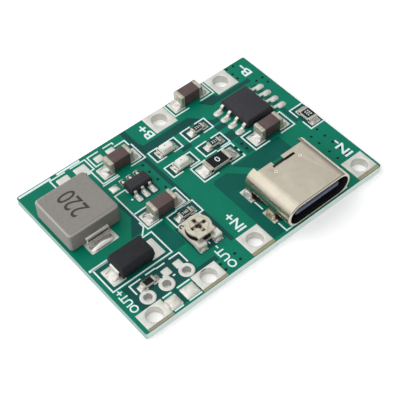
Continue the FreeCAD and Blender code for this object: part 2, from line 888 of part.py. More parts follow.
def socket_shell():
    """The folded steel shell with its legs, rear notch, latch slot and two dimples."""
    shell = socket_section(socket_width, socket_height, socket_front, socket_rear, board_top)
    mouth = [e for e in shell.Edges if e.BoundBox.YMax < socket_front + tiny]
    shell = shell.makeChamfer(socket_lip, mouth)
    inside = socket_section(
        socket_width - 2 * socket_wall,
        socket_height - 2 * socket_wall,
        socket_front - beyond,
        socket_rear + beyond,
        board_top + socket_wall,
    )
    shell = shell.cut(inside)
    for x, side, y in socket_legs():
        inner = x - side * socket_wall
        leg = block(
            min(x, inner),
            max(x, inner),
            y - socket_leg_width / 2,
            y + socket_leg_width / 2,
            underside,
            socket_middle,
        )
        shell = shell.fuse(leg)
    roof_low = board_top + socket_height - 2 * socket_wall
    roof_high = board_top + socket_height + beyond
    slot_rear = socket_rear - socket_slot_inset
    slot = block(
        socket_x - socket_slot_width / 2,
        socket_x + socket_slot_width / 2,
        slot_rear - socket_slot_depth,
        slot_rear,
        roof_low,
        roof_high,
    )
    notch = block(
        socket_x - socket_notch_left,
        socket_x + socket_notch_right,
        slot_rear - socket_slot_depth / 2,
        socket_rear + beyond,
        roof_low,
        roof_high,
    )
    shoulder = block(
        socket_x - socket_shoulder_start,
        socket_x + socket_shoulder_start,
        socket_rear - socket_shoulder_depth,
        socket_rear + beyond,
        roof_low,
        roof_high,
    )
    floor_gap = block(
        socket_x - socket_shoulder_start,
        socket_x + socket_shoulder_start,
        socket_rear - socket_floor_open,
        socket_rear + beyond,
        underside,
        board_top + 2 * socket_wall,
    )
    shell = shell.cut([slot, notch, shoulder, floor_gap])
    for side in (-1, 1):
        dimple = plate(
            socket_dimple_side,
            socket_dimple_side,
            board_top + socket_height - socket_dimple_depth,
            roof_high,
            socket_x + side * socket_dimple_spread,
            socket_rear - socket_dimple_inset,
        )
        shell = shell.cut(dimple)
    return shell.removeSplitter()


housing_rear = socket_rear - socket_shoulder_depth - housing_inset
housing_front = housing_rear - housing_length
tongue_front = socket_front + tongue_setback
tongue_low = socket_middle - tongue_thickness / 2
tongue_high = socket_middle + tongue_thickness / 2


def socket_housing():
    """The moulded block that closes the shell's rear."""
    return socket_section(
        socket_width - 2 * socket_wall,
        socket_height - 2 * socket_wall,
        housing_front,
        housing_rear,
        board_top + socket_wall,
    )


def socket_tongue():
    """The tongue inside the mouth, bevelled at its tip."""
    tongue = block(
        socket_x - tongue_width / 2,
        socket_x + tongue_width / 2,
        tongue_front,
        housing_front,
        tongue_low,
        tongue_high,
    )
    tip = [
        e
        for e in tongue.Edges
        if e.BoundBox.YMax < tongue_front + tiny and e.BoundBox.XLength > tongue_width / 2
    ]
    return tongue.makeChamfer(tongue_tip, tip)


def socket_contacts():
    """Contact strips on the tongue, and the tails that run from the housing down to the pads."""
    strips = []
    tails = []
    pads = []
    tail_level = board_top + contact_tail_height
    half = contact_thickness / 2
    toe = contact_tail_out + contact_pad_length / 2
    for number, spot in enumerate(contact_spots):
        x = socket_x + spot
        above = number % 2 == 0
        low = tongue_high if above else tongue_low - contact_thickness
        strips.append(
            block(
                x - contact_width / 2,
                x + contact_width / 2,
                tongue_front + contact_inset,
                housing_front,
                low,
                low + contact_thickness,
            )
        )
        tail = bent_strip(
            [
                (0, tail_level),
                (contact_tail_out / 2, tail_level),
                (contact_tail_out, pad_top + half),
                (toe, pad_top + half),
            ],
            contact_thickness,
            contact_thickness,
            contact_width,
        )
        tail.rotate(FreeCAD.Vector(0, 0, 0), UP, 90)
        tail.translate(FreeCAD.Vector(x, housing_rear, 0))
        tails.append(tail)
        pad_front = housing_rear + contact_tail_out - contact_pad_heel
        pads.append(
            block(
                x - contact_pad_width / 2,
                x + contact_pad_width / 2,
                pad_front,
                pad_front + contact_pad_length,
                board_top,
                pad_top,
            )
        )
    return strips + tails, pads


def leg_slots():
    """Plated slots for the shell's legs, their solder and what they cut from the board."""
    metals = []
    cuts = []
    solder = []
    for x, side, y in socket_legs():
        middle = x - side * socket_wall / 2
        across = socket_wall + 2 * socket_leg_clearance
        along = socket_leg_width + 2 * socket_leg_clearance
        grow = 2 * socket_leg_pad

        def slot(extra, low, high):
            return plate(across + extra, along + extra, low, high, middle, y)

        metal, cut = plated_hole(
            lambda low, high: slot(grow, low, high),
            lambda low, high: slot(0, low, high),
            lambda low, high: slot(2 * plating, low, high),
        )
        metals.append(metal)
        cuts.append(cut)
        reach = socket_leg_clearance + socket_leg_pad
        wedge = solder_wedge(reach, 2 * reach, along)
        if side < 0:
            wedge = mirrored(wedge)
        wedge.translate(FreeCAD.Vector(x, y, 0))
        fill = block(
            min(x, x + side * socket_leg_clearance),
            max(x, x + side * socket_leg_clearance),
            y - along / 2,
            y + along / 2,
            underside,
            pad_top,
        )
        solder.append(wedge.fuse(fill).removeSplitter())
    return metals, cuts, solder


# Board
def via():
    """One via, from below the board to above it."""
    return prism(via_radius, via_sides, underside - beyond, board_top + beyond)


def circuit_board(cuts):
    """The bare board with its holes and the pockets of its underside pads."""
    board = plate(board_length, board_width, underside, board_top)
    board = board.makeFillet(board_corner_radius, upright_edges(board))
    vias = []
    for place in via_places:
        vias.extend(put([via()], spot(place)))
    return board.cut(cuts + vias)


def build():
    """Every piece of the module, by node name."""
    nodes = {}
    cuts = []
    pads = []
    solder = []

    def fit(name, made, at, quarter_turns=0):
        nodes[name] = put(made, at, quarter_turns)

    def pave(made, at, quarter_turns=0):
        pads.extend(put(made, at, quarter_turns))

    def melt(made, at, quarter_turns=0):
        solder.extend(put(made, at, quarter_turns))

    terminal_nodes, terminal_cuts = terminals()
    cuts.extend(terminal_cuts)
    option_metals, option_cuts = option_pads()
    cuts.extend(option_cuts)
    slot_metals, slot_cuts, leg_solder = leg_slots()
    cuts.extend(slot_cuts)
    nodes["circuit_board"] = [circuit_board(cuts)]
    nodes.update(terminal_nodes)
    nodes["option_pads"] = option_metals
    nodes["socket_slot_linings"] = slot_metals

    bridges, domes = bridge_pads()
    pads.extend(bridges)
    solder.extend(domes)
    for place in spare_places:
        pave([plate(spare_pad_length, spare_pad_depth, board_top, pad_top)], spot(place))
    for place in small_spare_places:
        pave([plate(small_spare_length, small_spare_depth, board_top, pad_top)], spot(place))

    body, clips, coil_pads, coil_solder = coil()
    fit("coil_body", body, spot(coil_place), 1)
    fit("coil_clips", clips, spot(coil_place), 1)
    pave(coil_pads, spot(coil_pads_place), 1)
    melt(coil_solder, spot(coil_place), 1)

    body, leads, diode_pads, diode_solder = diode()
    fit("diode_body", body, spot(diode_place))
    fit("diode_leads", leads, spot(diode_place))
    pave(diode_pads, spot(diode_pads_place))
    melt(diode_solder, spot(diode_place))

    body, leads = gull_wing_chip(charger_chip)
    fit("charger_chip_body", body, spot(charger_place))
    fit("charger_chip_leads", leads, spot(charger_place))
    pave(chip_pads(charger_chip, True), spot(charger_pads_place))

    body, leads = gull_wing_chip(boost_chip)
    fit("boost_chip_body", body, spot(boost_place), 1)
    fit("boost_chip_leads", leads, spot(boost_place), 1)
    pave(chip_pads(boost_chip, False), spot(boost_place), 1)

    capacitors = [(spot(place), capacitor_pad_reach) for place in capacitor_places]
    capacitors.append(battery_capacitor_spot())
    for number, (at, reach) in enumerate(capacitors, 1):
        body, ends, end_pads, end_solder = capacitor(reach)
        fit(f"capacitor_{number}_body", body, at)
        fit(f"capacitor_{number}_ends", ends, at)
        pave(end_pads, at)
        melt(end_solder, at)

    option_resistor_spot = (column(option_resistor_column), option_square_y + option_resistor_shift)
    resistors = [(small_resistor, spot(place), 0) for place in small_resistor_places]
    resistors.append((small_resistor, option_resistor_spot, 0))
    resistors.append((large_resistor, spot(large_resistor_place), 0))
    resistors.append((medium_resistor, spot(edge_resistor_place), 1))
    for number, (size, at, turns) in enumerate(resistors, 1):
        body, ends, end_pads, end_solder = resistor(size)
        fit(f"resistor_{number}_body", body, at, turns)
        fit(f"resistor_{number}_ends", ends, at, turns)
        if at != option_resistor_spot:
            pave(end_pads, at, turns)
        melt(end_solder, at, turns)

    for number, place in enumerate(light_places, 1):
        base, lens, ends, end_pads, end_solder = status_light()
        fit(f"light_{number}_base", base, spot(place))
        fit(f"light_{number}_lens", lens, spot(place))
        fit(f"light_{number}_ends", ends, spot(place))
        pave(end_pads, spot(place))
        melt(end_solder, spot(place))

    track = trimmer_track()
    fit("trimmer_base", [trimmer_base()], spot(trimmer_place))
    fit("trimmer_track", [track], spot(trimmer_place))
    fit("trimmer_clips", trimmer_clips(track), spot(trimmer_place))
    fit("trimmer_rivet", [trimmer_rivet()], spot(trimmer_place))
    fit("trimmer_rotor", [trimmer_rotor()], spot(trimmer_place))
    pave(trimmer_pads(), spot(trimmer_place))

    contacts, contact_pads = socket_contacts()
    nodes["socket_shell"] = [socket_shell()]
    nodes["socket_housing"] = [socket_housing()]
    nodes["socket_tongue"] = [socket_tongue()]
    nodes["socket_contacts"] = contacts
    pads.extend(contact_pads)

    nodes["component_pads"] = pads
    nodes["solder_joints"] = solder + leg_solder
    return nodes


def main():
    """Write each node as one file of solids."""
    os.makedirs("parts", exist_ok=True)
    for name, solids in build().items():
        shape = solids[0] if len(solids) == 1 else Part.makeCompound(solids)
        shape.exportStep(f"parts/{name}.step")


main()
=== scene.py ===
"""Looks of the lithium battery charger module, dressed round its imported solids.

The classes hold their sizes in board millimetres: X and Y start at the board's front left
corner, Z at its underside. Surface.piece() carries them into the shared frame, in metres.
"""
import logging
import math
from collections.abc import Sequence
from dataclasses import dataclass
from enum import Enum

import bmesh
import bpy
import numpy as np
from mathutils import Matrix
from numpy.typing import NDArray


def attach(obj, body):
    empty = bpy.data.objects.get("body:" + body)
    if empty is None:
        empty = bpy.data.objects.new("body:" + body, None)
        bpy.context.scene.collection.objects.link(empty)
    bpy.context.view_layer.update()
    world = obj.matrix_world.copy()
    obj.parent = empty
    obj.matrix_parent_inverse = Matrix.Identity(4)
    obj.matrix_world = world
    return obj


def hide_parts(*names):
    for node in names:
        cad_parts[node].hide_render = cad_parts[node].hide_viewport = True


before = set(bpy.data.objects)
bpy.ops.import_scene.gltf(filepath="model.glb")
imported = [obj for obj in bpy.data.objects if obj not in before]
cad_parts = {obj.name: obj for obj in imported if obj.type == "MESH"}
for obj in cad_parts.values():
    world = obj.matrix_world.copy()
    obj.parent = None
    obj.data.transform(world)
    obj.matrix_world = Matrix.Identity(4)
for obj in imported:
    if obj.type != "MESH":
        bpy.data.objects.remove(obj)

log = logging.getLogger("charger_module")

Points = NDArray[np.float64]
Colour = tuple[int, int, int]
Place = tuple[float, float]
Box = tuple[float, float, float, float]
Outline = Sequence[Place]
Socket = bpy.types.NodeSocket

MILLIMETRE = 0.001
MIDDLE = np.array([16.5, 11.5, 0.0])
BOARD_TOP = 1.0
PAD_TOP = 1.05
SUNK = 0.005
TINY = 1e-9
NOISE_RANGE = (0.3, 0.7)
MERGE_REACH = 0.002
FLAT_ANGLE = 1.5


class Axis(Enum):
    """The axis along which a section is carried, as the roll of its coordinates."""

    X = 1
    Y = -1
    Z = 0


class Body(Enum):
    """The two bodies that pieces ride on."""

    MODULE = "module"
    ROTOR = "rotor"


class Step(Enum):
    """The steps of arithmetic that the node trees take."""

    ADD = "ADD"
    TIMES = "MULTIPLY"
    POWER = "POWER"
    ABOVE = "GREATER_THAN"
    SIZE = "ABSOLUTE"
    LEAST = "MINIMUM"
    MOST = "MAXIMUM"


# Finishes
def linear(colour: Colour) -> tuple[float, float, float, float]:
    """A colour written as seen on a screen, 0 to 255, turned into light levels.

    Args:
        colour: red, green and blue.

    Returns:
        The three light levels and a full alpha.
    """
    share = np.asarray(colour, dtype=float) / 255
    level = np.where(share <= 0.04045, share / 12.92, ((share + 0.055) / 1.055) ** 2.4)
    return (*level.tolist(), 1.0)


class NodeBench:
    """A node tree with short ways to add the nodes that the finishes and the sky share."""

    def __init__(
        self, owner: bpy.types.Material | bpy.types.World, shader: str = "Principled BSDF", spot: str = "Object"
    ) -> None:
        """Open the tree of a material or a world.

        Args:
            owner: the material or world.
            shader: the shader that the tree starts with.
            spot: the coordinates that its patterns follow.
        """
        owner.use_nodes = True
        self.owner = owner
        self.nodes = owner.node_tree.nodes
        self.shader = self.nodes[shader]
        self.spot = self.node("TexCoord").outputs[spot]

    @classmethod
    def material(cls, name: str) -> "NodeBench":
        """A bench on a new material of the given name."""
        return cls(bpy.data.materials.new(name + "_look"))

    def feed(self, socket: Socket, value: object) -> None:
        """Link a socket to another node's output, or set its number or colour.

        Args:
            socket: the input to fill.
            value: an output socket, a number or a colour.
        """
        if isinstance(value, Socket):
            self.owner.node_tree.links.new(value, socket)
        else:
            socket.default_value = value

    def fill(self, node: bpy.types.Node, **values: object) -> bpy.types.Node:
        """Fill a node's inputs.

        Args:
            node: the node.
            values: what each input gets, its name with low lines for spaces.

        Returns:
            The same node.
        """
        for name, value in values.items():
            self.feed(node.inputs[name.replace("_", " ")], value)
        return node

    def node(self, kind: str, **values: object) -> bpy.types.Node:
        """A new node of a kind, with its inputs filled as fill() does."""
        return self.fill(self.nodes.new("ShaderNode" + kind), **values)

    def dress(self, **values: object) -> None:
        """Fill the shader's inputs as fill() does."""
        self.fill(self.shader, **values)

    def noise(self, grain: float, detail: float = 3.0) -> Socket:
        """Cloudy noise: grain is one cloud's size in millimetres, detail its finer octaves."""
        return self.node("TexNoise", Vector=self.spot, Scale=1 / (grain * MILLIMETRE), Detail=detail).outputs["Fac"]

    def spread(self, value: Socket, low: float = 0.0, high: float = 1.0) -> Socket:
        """Noise carried from its usual range, 0.3 to 0.7, to a range of its own.

        Args:
            value: the noise.
            low: what 0.3 becomes.
            high: what 0.7 becomes.

        Returns:
            The value in the new range.
        """
        start, end = NOISE_RANGE
        span = {"From_Min": start, "From_Max": end, "To_Min": low, "To_Max": high}
        return self.node("MapRange", Value=value, **span).outputs["Result"]

    def blend(self, share: object, first: object, second: object) -> Socket:
        """Mix two colours.

        Args:
            share: how much of the second shows, from 0 to 1.
            first: colour or socket.
            second: colour or socket.

        Returns:
            The mixed colour.
        """
        node = self.nodes.new("ShaderNodeMix")
        node.data_type = "RGBA"
        return self.fill(node, Factor=share, A=first, B=second).outputs["Result"]

    def with_painted_light(self, tone: Socket, painted_light: Colour | None) -> Socket:
        """A tone with painted light over it where the mesh's own painted_light attribute says so.

        Args:
            tone: the clean colour.
            painted_light: the colour of the painted shade or painted highlight, if there is one.

        Returns:
            The colour with its painted light.
        """
        if painted_light is None:
            return tone
        mark = self.nodes.new("ShaderNodeAttribute")
        mark.attribute_name = "painted_light"
        return self.blend(mark.outputs["Fac"], tone, linear(painted_light))

    def sum(self, step: Step, first: object, second: object = 0.0) -> Socket:
        """One step of arithmetic.

        Args:
            step: the operation.
            first: number or socket.
            second: number or socket.

        Returns:
            The result.
        """
        node = self.nodes.new("ShaderNodeMath")
        node.operation = step.value
        self.feed(node.inputs[0], first)
        self.feed(node.inputs[1], second)
        return node.outputs["Value"]

    def relief(self, height: Socket, depth: float) -> None:
        """Give the shader a bump; a height of 1 stands depth millimetres high."""
        self.dress(Normal=self.node("Bump", Height=height, Distance=depth * MILLIMETRE).outputs["Normal"])


@dataclass(frozen=True)
class MetalFinish:
    """Bare or plated metal: two tones in clouds, uneven gloss and a fine relief."""

    name: str
    bright: Colour
    dull: Colour
    metallic: float = 0.85
    gloss: Place = (0.22, 0.42)
    cloud: float = 0.35
    grain: float = 0.05
    depth: float = 0.012
    grain_share: float = 0.35
    # painted_light: a colour of painted shade, laid where a mesh's painted_light attribute asks for it.
    painted_light: Colour | None = None

    def material(self) -> bpy.types.Material:
        """Make the finish.

        Returns:
            Its node material.
        """
        bench = NodeBench.material(self.name)
        cloud = bench.noise(self.cloud, 4.0)
        grain = bench.noise(self.grain, 2.0)
        tone = bench.blend(bench.spread(cloud), linear(self.bright), linear(self.dull))
        bench.dress(Base_Color=bench.with_painted_light(tone, self.painted_light), Metallic=self.metallic)
        bench.dress(Roughness=bench.spread(grain, *self.gloss))
        bench.relief(bench.sum(Step.ADD, cloud, bench.sum(Step.TIMES, grain, self.grain_share)), self.depth)
        return bench.owner


@dataclass(frozen=True)
class MatteFinish:
    """Ceramic, moulded plastic or ink: a base tone, speckle of a second tone and grain."""

    name: str
    base: Colour
    speckle: Colour
    amount: float = 0.8
    roughness: Place = (0.5, 0.7)
    shine: float = 0.3
    cloud: float = 0.6
    grain: float = 0.06
    depth: float = 0.01
    # painted_highlight: a lighter colour laid where a mesh's painted_light attribute asks for it.
    painted_highlight: Colour | None = None

    def material(self) -> bpy.types.Material:
        """Make the finish.

        Returns:
            Its node material.
        """
        bench = NodeBench.material(self.name)
        grain = bench.noise(self.grain)
        mixed = bench.sum(Step.TIMES, bench.sum(Step.ADD, bench.noise(self.cloud, 5.0), grain), 0.5)
        tone = bench.blend(bench.spread(mixed, 0.0, self.amount), linear(self.base), linear(self.speckle))
        bench.dress(Base_Color=bench.with_painted_light(tone, self.painted_highlight), Specular_IOR_Level=self.shine)
        bench.dress(Roughness=bench.spread(grain, *self.roughness))
        bench.relief(grain, self.depth)
        return bench.owner


@dataclass(frozen=True)
class LensFinish:
    """Milky resin that lets some light through."""

    name: str
    base: Colour
    tint: Colour
    cloud: float = 0.6
    gloss: Place = (0.2, 0.38)
    milk: float = 0.12
    milk_reach: float = 0.3
    shine: float = 0.4
    grain: float = 0.12
    ripple: float = 0.16
    depth: float = 0.012

    def material(self) -> bpy.types.Material:
        """Make the finish.

        Returns:
            Its node material.
        """
        bench = NodeBench.material(self.name)
        tone = bench.blend(bench.spread(bench.noise(self.cloud)), linear(self.base), linear(self.tint))
        bench.dress(Base_Color=tone, Specular_IOR_Level=self.shine)
        bench.dress(Roughness=bench.spread(bench.noise(self.grain), *self.gloss))
        bench.dress(Subsurface_Weight=self.milk, Subsurface_Scale=self.milk_reach * MILLIMETRE)
        bench.relief(bench.noise(self.ripple, 2.0), self.depth)
        return bench.owner


@dataclass(frozen=True)
class MaskFinish:
    """Solder mask on both faces of the board and bare glass laminate on its cut edges."""

    name: str
    base: Colour
    shade: Colour
    laminate: Colour = (232, 244, 240)
    fibre: Colour = (206, 222, 217)
    layers: float = 1150.0
    waviness: float = 2.5
    side: Colour = (120, 156, 149)
    side_share: float = 0.85
    rim: Colour = (20, 92, 77)
    rim_level: float = 0.9
    upright: float = 0.5
    cloud: float = 2.6
    grain: float = 0.09
    roughness: Place = (0.3, 0.48)
    shine: float = 0.12
    depth: float = 0.004

    def material(self) -> bpy.types.Material:
        """Make the finish: the laminate shows where a face stands upright.

        Returns:
            Its node material.
        """
        bench = NodeBench.material(self.name)
        cloud = bench.noise(self.cloud, 4.0)
        grain = bench.noise(self.grain)
        mask = bench.blend(bench.spread(cloud), linear(self.base), linear(self.shade))
        wave = bench.node("TexWave", Vector=bench.spot, Scale=self.layers, Distortion=self.waviness)
        wave.bands_direction = "Z"
        edge = bench.blend(wave.outputs["Fac"], linear(self.laminate), linear(self.fibre))
        facing = bench.node("SeparateXYZ", Vector=bench.node("NewGeometry").outputs["Normal"]).outputs
        # Cut edges that face along X take the darker, greener side tone; those that face along Y keep the laminate's.
        across = bench.sum(Step.TIMES, bench.sum(Step.SIZE, facing["X"]), self.side_share)
        edge = bench.blend(across, edge, linear(self.side))
        level = bench.node("SeparateXYZ", Vector=bench.spot).outputs["Z"]
        edge = bench.blend(bench.sum(Step.ABOVE, level, self.rim_level * MILLIMETRE), edge, linear(self.rim))
        flat = bench.sum(Step.ABOVE, bench.sum(Step.SIZE, facing["Z"]), self.upright)
        bench.dress(Base_Color=bench.blend(flat, edge, mask), Specular_IOR_Level=self.shine)
        bench.dress(Roughness=bench.spread(grain, *self.roughness))
        bench.relief(bench.sum(Step.ADD, cloud, grain), self.depth)
        return bench.owner


class Finish(Enum):
    """Every finish on the module."""

    MASK = MaskFinish("mask_over_copper", (0, 119, 93), (2, 110, 87))
    MASK_MID = MaskFinish("mask_half_tone", (1, 91, 79), (1, 83, 72))
    MASK_BARE = MaskFinish("mask_over_laminate", (16, 78, 72), (12, 70, 65))
    LAMINATE = MatteFinish("bare_laminate", (158, 152, 122), (126, 120, 92), amount=0.6, grain=0.12)
    INK = MatteFinish(
        "white_ink", (226, 240, 240), (196, 220, 220), amount=0.7, roughness=(0.6, 0.8), shine=0.2, cloud=0.5,
        grain=0.07,
    )
    # Its painted_light colour is painted shade on the walls of the plated holes.
    TIN = MetalFinish(
        "tinned_pad", (224, 225, 219), (203, 203, 196), metallic=0.4, gloss=(0.32, 0.5), cloud=1.1, grain=0.12,
        depth=0.01, painted_light=(112, 112, 104),
    )
    SOLDER = MetalFinish(
        "solder", (230, 228, 222), (192, 189, 182), metallic=0.72, gloss=(0.15, 0.28), cloud=0.5, grain=0.2, depth=0.008
    )
    DROP = MetalFinish(
        "smooth_solder", (236, 234, 228), (214, 211, 204), metallic=0.8, gloss=(0.1, 0.18), cloud=1.2, grain=0.3,
        depth=0.002,
    )
    BRIDGE = MetalFinish(
        "bridge_solder", (230, 232, 231), (200, 191, 168), metallic=0.5, gloss=(0.28, 0.45), cloud=0.5, grain=0.12
    )
    LEG_SOLDER = MetalFinish(
        "leg_solder", (228, 216, 190), (140, 120, 90), metallic=0.6, gloss=(0.2, 0.4), cloud=0.4, grain=0.1, depth=0.02
    )
    LEAD = MetalFinish(
        "tinned_lead", (234, 231, 224), (204, 200, 191), metallic=0.55, gloss=(0.18, 0.3), cloud=0.4, grain=0.08,
        depth=0.005,
    )
    END = MetalFinish(
        "plated_end", (212, 208, 192), (162, 158, 143), metallic=0.68, gloss=(0.4, 0.6), cloud=0.3, depth=0.014
    )
    # Its painted_light colour is painted shade in the rotor's pressed cross and socket.
    ROTOR = MetalFinish(
        "rotor_metal", (214, 208, 191), (184, 177, 158), metallic=0.4, gloss=(0.3, 0.5), grain=0.06, depth=0.01,
        painted_light=(46, 30, 22),
    )
    RIVET = MetalFinish("rivet_metal", (84, 56, 46), (50, 32, 28), metallic=0.6, gloss=(0.35, 0.55), cloud=0.2)
    STEEL = MetalFinish(
        "nickel_steel", (210, 202, 185), (198, 190, 173), metallic=0.96, gloss=(0.15, 0.21), cloud=1.6, grain=0.3,
        depth=0.0005,
    )
    GOLD = MetalFinish(
        "gold_contact", (226, 184, 110), (196, 152, 82), metallic=0.95, gloss=(0.2, 0.35), cloud=0.3, depth=0.006
    )
    # Its painted_highlight colour is a painted highlight along the middle of the coil's bevel.
    FERRITE = MatteFinish(
        "moulded_ferrite", (139, 136, 131), (118, 115, 110), roughness=(0.65, 0.85), shine=0.25, cloud=0.3, grain=0.05,
        depth=0.02, painted_highlight=(172, 169, 163),
    )
    EPOXY = MatteFinish("chip_plastic", (45, 45, 49), (60, 60, 65), shine=0.22, cloud=0.4, grain=0.05, depth=0.014)
    DIODE = MatteFinish("diode_plastic", (28, 29, 32), (44, 45, 49), shine=0.22, cloud=0.4, grain=0.05, depth=0.014)
    BROWN = MatteFinish(
        "brown_ceramic", (97, 79, 78), (76, 60, 61), amount=0.9, roughness=(0.35, 0.55), cloud=0.5, grain=0.05,
        depth=0.006,
    )
    COAT = MatteFinish(
        "resistor_coat", (8, 8, 9), (20, 20, 21), amount=0.7, roughness=(0.4, 0.55), shine=0.2, cloud=0.3, grain=0.05,
        depth=0.004,
    )
    ALUMINA = MatteFinish("resistor_ceramic", (222, 220, 212), (200, 198, 190), amount=0.7)
    LIGHT_BASE = MatteFinish("light_base", (222, 222, 208), (196, 194, 178), roughness=(0.45, 0.65), cloud=0.3)
    LENS = LensFinish("light_lens", (232, 233, 227), (216, 217, 208))
    GREEN = MatteFinish("green_mark", (40, 168, 110), (90, 190, 140), cloud=0.2)
    PORCELAIN = MatteFinish("white_ceramic", (214, 209, 196), (190, 184, 170), roughness=(0.4, 0.6), cloud=0.4)
    FILM = MatteFinish("resistive_film", (30, 26, 25), (48, 42, 40), roughness=(0.35, 0.5), cloud=0.2)
    SOCKET = MatteFinish("socket_plastic", (18, 18, 21), (30, 30, 34), roughness=(0.4, 0.6), cloud=0.4)
    LEDGE = MatteFinish("slot_ledge", (124, 127, 126), (98, 100, 101), roughness=(0.35, 0.5), cloud=0.3)
    TONGUE = MatteFinish("tongue_plastic", (92, 98, 122), (74, 80, 102), roughness=(0.35, 0.5), cloud=0.5)
    # Painted highlight for the rims of the shell's dimples.
    WORN = MatteFinish("worn_rim", (252, 245, 230), (234, 222, 202), amount=0.7, roughness=(0.4, 0.6), cloud=0.2)
    DARK_INK = MatteFinish(
        "dark_ink", (58, 52, 52), (82, 76, 74), roughness=(0.6, 0.8), shine=0.2, cloud=0.25, grain=0.05, depth=0.004
    )
    # Dark sheets of painted shade beside the socket's legs, behind the boost chip's feet and on a coil clip.
    FLUX = MatteFinish(
        "flux_residue", (30, 25, 22), (62, 52, 44), amount=0.9, roughness=(0.3, 0.5), shine=0.35, cloud=0.25, grain=0.08
    )
    # Painted shade that plugs the vias.
    PIT = MatteFinish("drilled_pit", (10, 16, 15), (20, 30, 28), roughness=(0.6, 0.8), shine=0.2, cloud=0.2)

    @property
    def material(self) -> bpy.types.Material:
        """The finish's material, made the first time it is asked for."""
        return bpy.data.materials.get(self.value.name + "_look") or self.value.material()


# Surfaces
@dataclass
class Surface:
    """Points in board millimetres and the faces between them, turned outwards."""

    points: Points
    faces: list[tuple[int, ...]]

    def moved(self, x: float = 0.0, y: float = 0.0, z: float = 0.0, turns: int = 0) -> "Surface":
        """The surface turned about Z by a number of quarter turns, then shifted.

        Args:
            x: shift along X.
            y: shift along Y.
            z: shift along Z.
            turns: quarter turns, anticlockwise from above.

        Returns:
            The moved surface.
        """
        angle = turns * math.pi / 2
        turn = np.array([[math.cos(angle), math.sin(angle), 0], [-math.sin(angle), math.cos(angle), 0], [0, 0, 1]])
        return Surface(self.points @ turn + np.array([x, y, z]), self.faces)

    def piece(
        self,
        name: str,
        finish: Finish,
        slot: str,
        replaces: Sequence[str] = (),
        body: Body = Body.MODULE,
        crease: float = 38.0,
        painted_light: Points | None = None,
    ) -> bpy.types.Object:
        """Make the surface a piece of the scene that rides on a body.

        Args:
            name: the piece's name.
            finish: what it is dressed in.
            slot: not used.
            replaces: the solids that it stands for.
            body: the body that carries it.
            crease: edges sharper than this many degrees stay crisp.
            painted_light: how much painted shade or painted highlight each point takes, from 0 to 1.

        Returns:
            The piece.
        """
        mesh = bpy.data.meshes.new(name)
        mesh.from_pydata(((self.points - MIDDLE) * MILLIMETRE).tolist(), [], self.faces)
        mesh.materials.append(finish.material)
        if painted_light is not None:
            mesh.attributes.new("painted_light", "FLOAT", "POINT").data.foreach_set("value", painted_light)
        finish_mesh(mesh, crease)
        return enter(name, mesh, replaces, body)


def finish_mesh(mesh: bpy.types.Mesh, crease: float) -> None:
    """Shade a mesh smoothly between its creases.

    Args:
        mesh: the mesh.
        crease: edges sharper than this many degrees stay crisp.
    """
    mesh.polygons.foreach_set("use_smooth", np.ones(len(mesh.polygons), dtype=bool))
    mesh.set_sharp_from_angle(angle=math.radians(crease))
    mesh.update()


def stood(name: str, data: bpy.types.ID) -> bpy.types.Object:
    """Put a new object into the scene.

    Args:
        name: the object's name.
        data: its mesh, lamp or camera.

    Returns:
        The object.
    """
    item = bpy.data.objects.new(name, data)
    bpy.context.scene.collection.objects.link(item)
    return item


def enter(
    name: str, mesh: bpy.types.Mesh, replaces: Sequence[str] = (), body: Body = Body.MODULE
) -> bpy.types.Object:
    """Put a mesh into the scene as a piece of the module.

    Args:
        name: the piece's name.
        mesh: its mesh, in the shared frame.
        replaces: the solids that it stands for.
        body: the body that carries it.

    Returns:
        The piece.
    """
    piece = stood(name, mesh)
    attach(piece, body.value)
    if replaces:
        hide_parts(*replaces)
    log.info("%s: %d faces", name, len(mesh.polygons))
    return piece


def joined(surfaces: Sequence[Surface]) -> Surface:
    """Several surfaces as one.

    Args:
        surfaces: what to join.

    Returns:
        One surface with all their points and faces.
    """
    starts = np.cumsum([0] + [len(surface.points) for surface in surfaces[:-1]])
    faces = [
        tuple(int(start) + corner for corner in face)
        for start, surface in zip(starts, surfaces)
        for face in surface.faces
    ]
    return Surface(np.concatenate([surface.points for surface in surfaces]), faces)


def ruled(rings: Points, caps: bool = True, around: bool = False) -> Surface:
    """Walls between closed rings of points, each ring anticlockwise about its own axis.

    Point (r, i) is joined to (r, i + 1), (r + 1, i + 1) and (r + 1, i), with i taken round.

    Args:
        rings: points as ring, place on the ring, coordinate.
        caps: close the first and the last ring.
        around: join the last ring to the first.

    Returns:
        The surface.
    """
    count, size = rings.shape[:2]
    last = count if around else count - 1
    ring, place = np.meshgrid(np.arange(last), np.arange(size), indexing="ij")
    above = (ring + 1) % count
    beside = (place + 1) % size
    quads = np.stack(
        [ring * size + place, ring * size + beside, above * size + beside, above * size + place], axis=-1
    )
    faces = [tuple(quad) for quad in quads.reshape(-1, 4).tolist()]
    if caps and not around:
        faces.append(tuple(range(size - 1, -1, -1)))
        faces.append(tuple(range((count - 1) * size, count * size)))
    return Surface(rings.reshape(-1, 3), faces)


def circle(sides: int) -> Points:
    """The cosine and sine of so many even steps round a turn."""
    turn = np.linspace(0, 2 * np.pi, sides, endpoint=False)
    return np.stack([np.cos(turn), np.sin(turn)], axis=-1)


def corner_loop(half_a: Points, half_b: Points, radius: Points, steps: int) -> tuple[Points, Points]:
    """Rectangles with quarter circles for corners, one per row.

    Round corner k the point is (sign_a (half_a - r) + r cos t, sign_b (half_b - r) + r sin t),
    with t running from k to k + 1 quarter turns.

    Args:
        half_a: half the length of each rectangle, as a column.
        half_b: half the width, as a column.
        radius: corner radius, as a column.
        steps: chords in a corner.

    Returns:
        The two coordinates of every point.
    """
    corner = np.arange(4)[:, None]
    angle = (corner * np.pi / 2 + np.linspace(0, np.pi / 2, steps + 1)).ravel()
    middle = np.repeat(np.arange(4) * np.pi / 2 + np.pi / 4, steps + 1)
    a = np.sign(np.cos(middle)) * (half_a - radius) + radius * np.cos(angle)
    b = np.sign(np.sin(middle)) * (half_b - radius) + radius * np.sin(angle)
    return a, b


